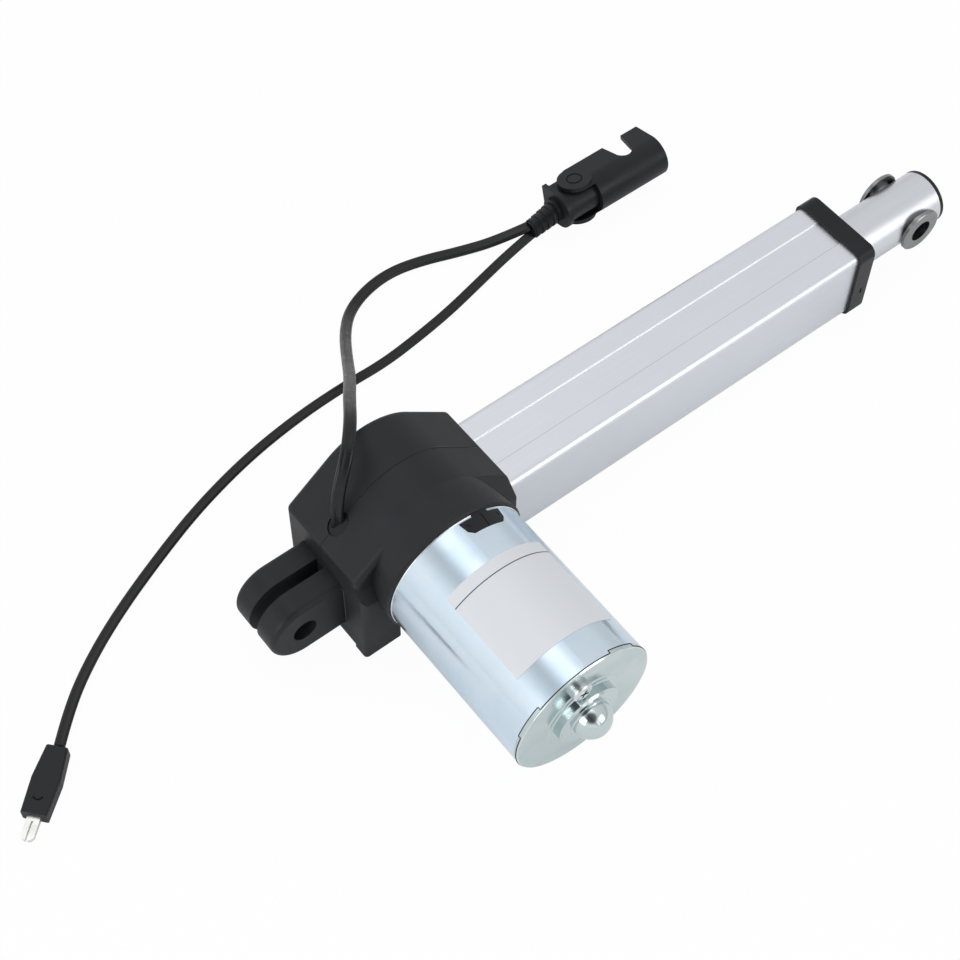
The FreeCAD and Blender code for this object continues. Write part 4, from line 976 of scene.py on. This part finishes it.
@dataclass
class MotorHighlightAndShadeLines:
    """The crimped seam, the end screws' crosses and the terminal block's lines in painted shade, and the rims
    in painted highlight, in millimetres.

    Angles are in degrees round the motor's axis, from the top towards the rod.
    """

    axis: Pair = (54.3, 18.3)
    radius: float = 29.75
    front: float = -33.5
    rear: float = -105.0
    tab: float = 1.2
    tabs: tuple[Pair, ...] = ((-42.0, 20.7), (46.0, 110.0), (138.0, 200.7), (226.0, 290.0))
    seam_step: float = 2.0
    seam: float = 0.19
    plate_rear: float = -107.0
    edge: float = 0.16
    edge_in: float = 0.3
    edge_forward: float = 0.25
    rim: float = 0.24
    rim_proud: float = 0.02
    rim_back: float = 0.45
    screw_circle: float = 18.7
    screw_angles: tuple[float, ...] = (-9.0, 171.0)
    screw_top: float = -109.62
    cross_turns: tuple[float, ...] = (25.0, 115.0)
    cross_arm: float = 1.9
    cross_width: float = 0.12
    cross_depth: float = 0.7
    block_proud: float = 0.3
    block_line: float = 0.16
    block_lines: tuple[tuple[str, tuple[Pair, ...]], ...] = (
        ("terminal_split", ((19.6, -1.3), (19.2, -3.6), (18.2, -7.2))),
        ("terminal_mark_left", ((4.6, -3.2), (5.6, -3.5), (6.4, -4.6))),
        ("terminal_mark_right", ((31.6, -2.8), (32.7, -3.4), (33.2, -4.4))),
    )

    def out(self, angles: np.ndarray | float) -> np.ndarray:
        """The way out from the motor's axis at each angle: its sine along X and its cosine along Z."""
        turn = np.radians(angles)
        return np.stack([np.sin(turn), np.zeros_like(turn), np.cos(turn)], -1)

    def at(self, angles: np.ndarray | float, depths: np.ndarray | float, radius: float) -> np.ndarray:
        """Places in metres: the axis at each Y, and from there a radius along the way out.

        Args:
            angles: Round the axis, in degrees.
            depths: Y of each place.
            radius: How far the places lie from the axis.

        Returns:
            Points, or one point for one angle.
        """
        x, z = self.axis
        middle = np.stack([np.full_like(depths, x), depths, np.full_like(depths, z)], -1)
        return MM * (middle + radius * self.out(angles))

    def seam_places(self) -> list[Pair]:
        """Angles and depths round the can's end: it reaches further back over each crimped tab.

        Returns:
            Pairs of angle and Y, once round.
        """
        places = []
        for number, (start, end) in enumerate(self.tabs):
            turns, place = divmod(number + 1, len(self.tabs))
            following = self.tabs[place][0] + 360.0 * turns
            steps = np.arange(start, end, self.seam_step)
            places += [(start, self.rear)] + [(angle, self.rear - self.tab) for angle in steps]
            places += [(end, self.rear - self.tab)]
            places += [(angle, self.rear) for angle in np.arange(end, following, self.seam_step)]
        return places

    def line_round(
        self, name: str, places: list[Pair], radius: float, half: float, material: Material,
        closed: bool,
    ) -> None:
        """Lays a thin round line on the motor.

        Args:
            name: The piece's name.
            places: Pairs of angle and Y along the line.
            radius: How far it lies from the axis.
            half: Its own radius.
            material: What it is made of.
            closed: Whether it ends where it starts.
        """
        angles, depths = np.array(places).T
        line = self.at(angles, depths, radius)
        section = round_section(half * MM)
        fixed(swept(name, line, self.out(angles), section, material, closed), Body.HOUSING)

    def make(self, recess_shade: Material, rim_highlight: Material) -> None:
        """Adds the lines and crosses.

        Args:
            recess_shade: Painted shade for seams, grooves and recesses.
            rim_highlight: Painted highlight for the rims' edges.
        """
        # Painted shade along the crimped seam.
        seam = self.seam_places()
        self.line_round("can_seam", seam, self.radius, self.seam, recess_shade, True)
        # Painted highlight along the end plate's edge and the can's rim.
        circle = np.arange(0.0, 360.0, self.seam_step)
        chamfer = [(angle, self.plate_rear + self.edge_forward) for angle in circle]
        inside = self.radius - self.edge_in
        self.line_round("end_plate_edge", chamfer, inside, self.edge, rim_highlight, True)
        rim = [(angle, self.front - self.rim_back) for angle in circle]
        outside = self.radius + self.rim_proud
        self.line_round("can_rim", rim, outside, self.rim, rim_highlight, True)
        # Painted shade along the terminal block's lines and in the screws' cross recesses.
        skin = self.radius + self.block_proud
        for name, places in self.block_lines:
            behind = [(angle, self.front + back) for angle, back in places]
            self.line_round(name, behind, skin, self.block_line, recess_shade, False)
        section = flat_section(self.cross_width * MM, self.cross_depth * MM)
        for number, angle in enumerate(self.screw_angles, 1):
            middle = self.at(angle, self.screw_top, self.screw_circle)
            for turn in self.cross_turns:
                arm = MM * self.cross_arm * self.out(turn)
                name = f"end_screw_{number}_slot_{turn:.0f}"
                bar = swept(name, np.stack([middle - arm, middle + arm]), ALONG_Y, section, recess_shade)
                fixed(bar, Body.HOUSING)


@dataclass
class MouldHighlightAndShadeLines:
    """Thin lines along moulded ridges, edges and grooves of the housing, the connector and the small plug, in
    millimetres: the lighter ones painted highlight, the dark ones painted shade.
    """

    slope: tuple[Point, ...] = ((69.6, 0.35, 42.7), (73.4, 0.45, 39.75), (80.0, 0.4, 34.1), (87.4, 0.2, 27.7))
    collar: tuple[Point, ...] = (
        (17.4, -2.8, 12.8), (17.4, -11.5, 12.9), (17.4, -13.6, 11.3), (17.4, -13.9, 0.0), (17.4, -13.9, -9.0),
    )
    thin: float = 0.22
    wide: float = 0.30
    joint: Point = (222.6, 98.2, -11.3)
    tilt: float = -15.0
    ring_points: int = 24
    groove_points: int = 19
    pivot: float = 3.35
    cheek: float = 9.62
    body_half: float = 7.15
    body_centre: float = -2.0
    body_edge: float = 6.6
    plate_front: float = -9.65
    thumb: tuple[Point, ...] = (
        (-112.4, -0.7, -16.6), (-112.2, -2.0, -16.6), (-111.6, -2.8, -16.6), (-110.7, -3.15, -16.6),
        (-109.7, -2.9, -16.6),
    )

    def on_connector(self, x: np.ndarray, y: np.ndarray, z: np.ndarray) -> np.ndarray:
        """Places in the connector's own frame, turned by its tilt about X and carried to its joint.

        Args:
            x: Along the connector, in millimetres.
            y: Across it.
            z: Up from it.

        Returns:
            N by 3 points, in metres.
        """
        turn = math.radians(self.tilt)
        tilted = [x, y * math.cos(turn) - z * math.sin(turn), y * math.sin(turn) + z * math.cos(turn)]
        return MM * (np.array(self.joint) + np.stack(tilted, 1))

    def pivot_ring(self) -> np.ndarray:
        """The circle where the pivot ends in the shell's cheek.

        Returns:
            Points, in metres.
        """
        turn = np.linspace(0, 2 * np.pi, self.ring_points, endpoint=False)
        cheek = np.full_like(turn, self.cheek)
        return self.on_connector(self.pivot * np.cos(turn), self.pivot * np.sin(turn), cheek)

    def body_groove(self) -> np.ndarray:
        """The line round the connector's back where its body meets the rear plate.

        It is a straight run, a half circle and a straight run back.

        Returns:
            Points, in metres.
        """
        turn = np.radians(np.linspace(90.0, 270.0, self.groove_points))
        y = np.r_[self.body_edge, self.body_centre + self.body_half * np.cos(turn), self.body_edge]
        z = self.body_half * np.r_[1.0, np.sin(turn), -1.0]
        return self.on_connector(np.full_like(y, self.plate_front), y, z)

    def make(self, recess_shade: Material, flash_highlight: Material) -> None:
        """Adds the lines.

        Args:
            recess_shade: Painted shade for grooves.
            flash_highlight: Painted highlight for the raised lines, a little lighter than the plastic round
                them.
        """
        slope, collar, thumb = (MM * np.array(line) for line in (self.slope, self.collar, self.thumb))
        thin, wide = round_section(self.thin * MM), round_section(self.wide * MM)
        # Painted highlight along the parting ridge on the front slope and along the collar's edge.
        raised = {"slope_flash_highlight": (slope, ALONG_Y), "collar_edge_highlight": (collar, ALONG_X)}
        for name, (line, way) in raised.items():
            fixed(swept(name, line, way, thin, flash_highlight), Body.HOUSING)
        # Painted shade in the plug's thumb recess and the connector's body groove.
        sunk = {"plug_thumb": (thumb, ALONG_Z), "body_groove": (self.body_groove(), ALONG_X)}
        for name, (line, way) in sunk.items():
            fixed(swept(name, line, way, wide, recess_shade), Body.HOUSING)
        # Painted shade in the groove round the pivot.
        ring = swept("pivot_groove", self.pivot_ring(), ALONG_Z, thin, recess_shade, closed=True)
        fixed(ring, Body.HOUSING)


@dataclass
class LeadSleeve:
    """The soft sleeve that fills the housing's hole round the lead, in millimetres."""

    place: Pair = (26.0, 0.0)
    radius: float = 3.85
    foot: float = 26.2
    slope_foot: Pair = (17.5, 26.0)
    slope: float = 0.78
    sunk: float = 0.7
    around: int = 32

    def make(self, material: Material) -> None:
        """Stands the sleeve in its hole: a ring at its foot, and one a little below the housing's rear slope.

        Args:
            material: The sleeve's rubber.
        """
        turn = np.linspace(0, 2 * np.pi, self.around, endpoint=False)
        x = self.place[0] + self.radius * np.cos(turn)
        y = self.place[1] + self.radius * np.sin(turn)
        low = np.full_like(x, self.foot)
        high = self.slope_foot[1] + self.slope * (x - self.slope_foot[0]) - self.sunk
        points = MM * np.vstack([np.stack([x, y, low], 1), np.stack([x, y, high], 1)])
        faces = ring_faces(2, self.around, closed=False)
        faces.append(list(range(self.around))[::-1])
        faces.append(list(range(self.around, 2 * self.around)))
        fixed(mesh_piece("lead_sleeve", points, faces, material, smooth=False), Body.HOUSING)


@dataclass
class ScrewThread:
    """The lead screw's thread crest, in millimetres."""

    radius: float = 6.0
    proud: float = 0.2
    crest: float = 1.5
    lead: float = 4.0
    ends: Pair = (84.0, 252.0)
    steps: int = 28

    def make(self, material: Material) -> None:
        """Winds the crest round the screw: the turn grows by a full circle with each lead.

        Args:
            material: The screw's steel.
        """
        start, end = self.ends
        x = np.linspace(start, end, int(self.steps * (end - start) / self.lead))
        turn = 2 * np.pi * (x - start) / self.lead
        out = np.stack([np.zeros_like(x), np.cos(turn), np.sin(turn)], 1)
        line = MM * (x[:, None] * ALONG_X + self.radius * out)
        section = flat_section(2 * self.proud * MM, self.crest * MM)
        fixed(swept("screw_thread", line, out, section, material), Body.SCREW)


Finish = MouldedPlastic | DrawnMetal | ZincPlate | PlainMetal | BareSticker


@dataclass
class Finishes:
    """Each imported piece's own finish."""

    housing: MouldedPlastic = MouldedPlastic(
        "housing_plastic", (0.0158, 0.0168, 0.0200), 0.50, parting=0.00013,
    )
    clevis: MouldedPlastic = MouldedPlastic("clevis_plastic", (0.0145, 0.0155, 0.0185), 0.46)
    cap: MouldedPlastic = MouldedPlastic("cap_plastic", (0.0105, 0.0112, 0.0140), 0.36, specular=0.24)
    connector: MouldedPlastic = MouldedPlastic("connector_plastic", (0.0100, 0.0106, 0.0130), 0.40)
    tube: DrawnMetal = DrawnMetal(
        "tube_aluminium", (0.73, 0.76, 0.81), Across.ALONG_ROD, 0.38,
        # Painted highlight along the band's far step edge and painted shade along its near one.
        edges=((0.0068, 0.00024, 1.35), (-0.0068, 0.00013, 0.6)),
    )
    rod: DrawnMetal = DrawnMetal("rod_aluminium", (0.68, 0.70, 0.74), Across.ALONG_ROD, 0.34)
    can: ZincPlate = ZincPlate("can_zinc", (0.68, 0.79, 0.88), (0.60, 0.73, 0.85), 0.17)
    end_plate: ZincPlate = ZincPlate(
        "end_plate_zinc", (0.58, 0.66, 0.67), (0.47, 0.58, 0.59), 0.14, wave=0.00045,
    )
    bush: PlainMetal = PlainMetal("eye_bush_steel", (0.27, 0.275, 0.28), 0.30)
    # Near-black painted shade laid in seams, grooves and recesses.
    groove: MouldedPlastic = MouldedPlastic("groove_shadow", (0.004, 0.004, 0.005), 0.7, specular=0.1)
    # Painted highlight along the housing's parting ridge and the collar's edge.
    flash_highlight: MouldedPlastic = MouldedPlastic("flash_ridge_highlight", (0.050, 0.052, 0.058), 0.45)
    # Painted highlight along the motor's rim edges, lighter than the can's zinc.
    edge: PlainMetal = PlainMetal("rim_edge_highlight", (0.82, 0.86, 0.88), 0.22)
    steel: PlainMetal = PlainMetal("ground_steel", (0.66, 0.67, 0.68), 0.25)
    screw: PlainMetal = PlainMetal("screw_zinc", (0.68, 0.70, 0.71), 0.30)
    laminations: DrawnMetal = DrawnMetal("laminations", (0.36, 0.36, 0.37), Across.ROUND_ROD, 0.45)
    ferrite: PlainMetal = PlainMetal("ferrite", (0.10, 0.10, 0.11), 0.55)
    copper: PlainMetal = PlainMetal("enamelled_copper", (0.72, 0.38, 0.22), 0.35)
    bronze: PlainMetal = PlainMetal("sintered_bronze", (0.62, 0.45, 0.26), 0.45)
    brass: PlainMetal = PlainMetal("contact_brass", (0.80, 0.66, 0.38), 0.28)
    tin: PlainMetal = PlainMetal("blade_tin", (0.80, 0.80, 0.78), 0.30)
    acetal: MouldedPlastic = MouldedPlastic("natural_acetal", (0.80, 0.78, 0.70), 0.32)
    rubber: MouldedPlastic = MouldedPlastic("wiper_rubber", (0.016, 0.016, 0.016), 0.62)
    board: MouldedPlastic = MouldedPlastic("board_epoxy", (0.04, 0.18, 0.08), 0.30)
    sticker: BareSticker = BareSticker("bare_sticker")

    def wear(self) -> dict[Finish, tuple[str, ...]]:
        """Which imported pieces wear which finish.

        Returns:
            Names of the pieces by their finish.
        """
        return {
            self.housing: ("housing_far", "housing_near"),
            self.clevis: ("rear_clevis",),
            self.cap: ("front_end_cap", "rod_end_plug", "limit_switches", "brush_holder", "nut_guide"),
            self.connector: ("connector_body", "lock_pivots", "lock_shell", "small_plug", "strain_relief"),
            self.tube: ("outer_tube",),
            self.rod: ("push_rod_tube",),
            self.can: ("motor_can",),
            self.end_plate: ("motor_end_plate", "motor_bracket"),
            self.bush: ("near_eye_bush", "far_eye_bush"),
            self.steel: (
                "lead_screw", "wheel_key", "rear_bearing_outer_ring", "rear_bearing_inner_ring",
                "rear_bearing_balls", "front_bearing_outer_ring", "front_bearing_inner_ring",
                "front_bearing_balls", "motor_front_bearing", "armature_shaft",
            ),
            self.screw: ("housing_screws", "end_plate_screws", "bracket_screws", "lock_nut", "nut_pins"),
            self.laminations: ("lamination_stack",),
            self.ferrite: ("motor_magnets", "brushes"),
            self.copper: ("armature_windings", "commutator"),
            self.bronze: ("motor_rear_bush", "worm_tip_bush"),
            self.brass: ("connector_contacts",),
            self.tin: ("plug_blade",),
            self.acetal: ("worm_wheel", "drive_nut", "rod_guide_bush"),
            self.rubber: ("wiper_seal",),
            self.board: ("limit_switch_board",),
            self.sticker: ("rating_label",),
        }

    def make(self) -> None:
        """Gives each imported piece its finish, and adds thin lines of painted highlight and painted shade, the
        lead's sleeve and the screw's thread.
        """
        for finish, nodes in self.wear().items():
            material = finish.make()
            for node in nodes:
                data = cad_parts[node].data
                data.materials.clear()
                data.materials.append(material)
            LOG.info("%s: %s", finish.name, ", ".join(nodes))
        recess_shade = self.groove.make()
        MotorHighlightAndShadeLines().make(recess_shade, self.edge.make())
        MouldHighlightAndShadeLines().make(recess_shade, self.flash_highlight.make())
        LeadSleeve().make(bpy.data.materials[self.cap.name])
        ScrewThread().make(bpy.data.materials[self.steel.name])


def main() -> None:
    """Builds the camera, the leads, the finishes and the studio in order."""
    logging.basicConfig(level=logging.INFO, format="%(name)s %(message)s")
    Camera().make()
    Leads().make()
    Finishes().make()
    Studio().make()


if __name__ == "__main__":
    main()
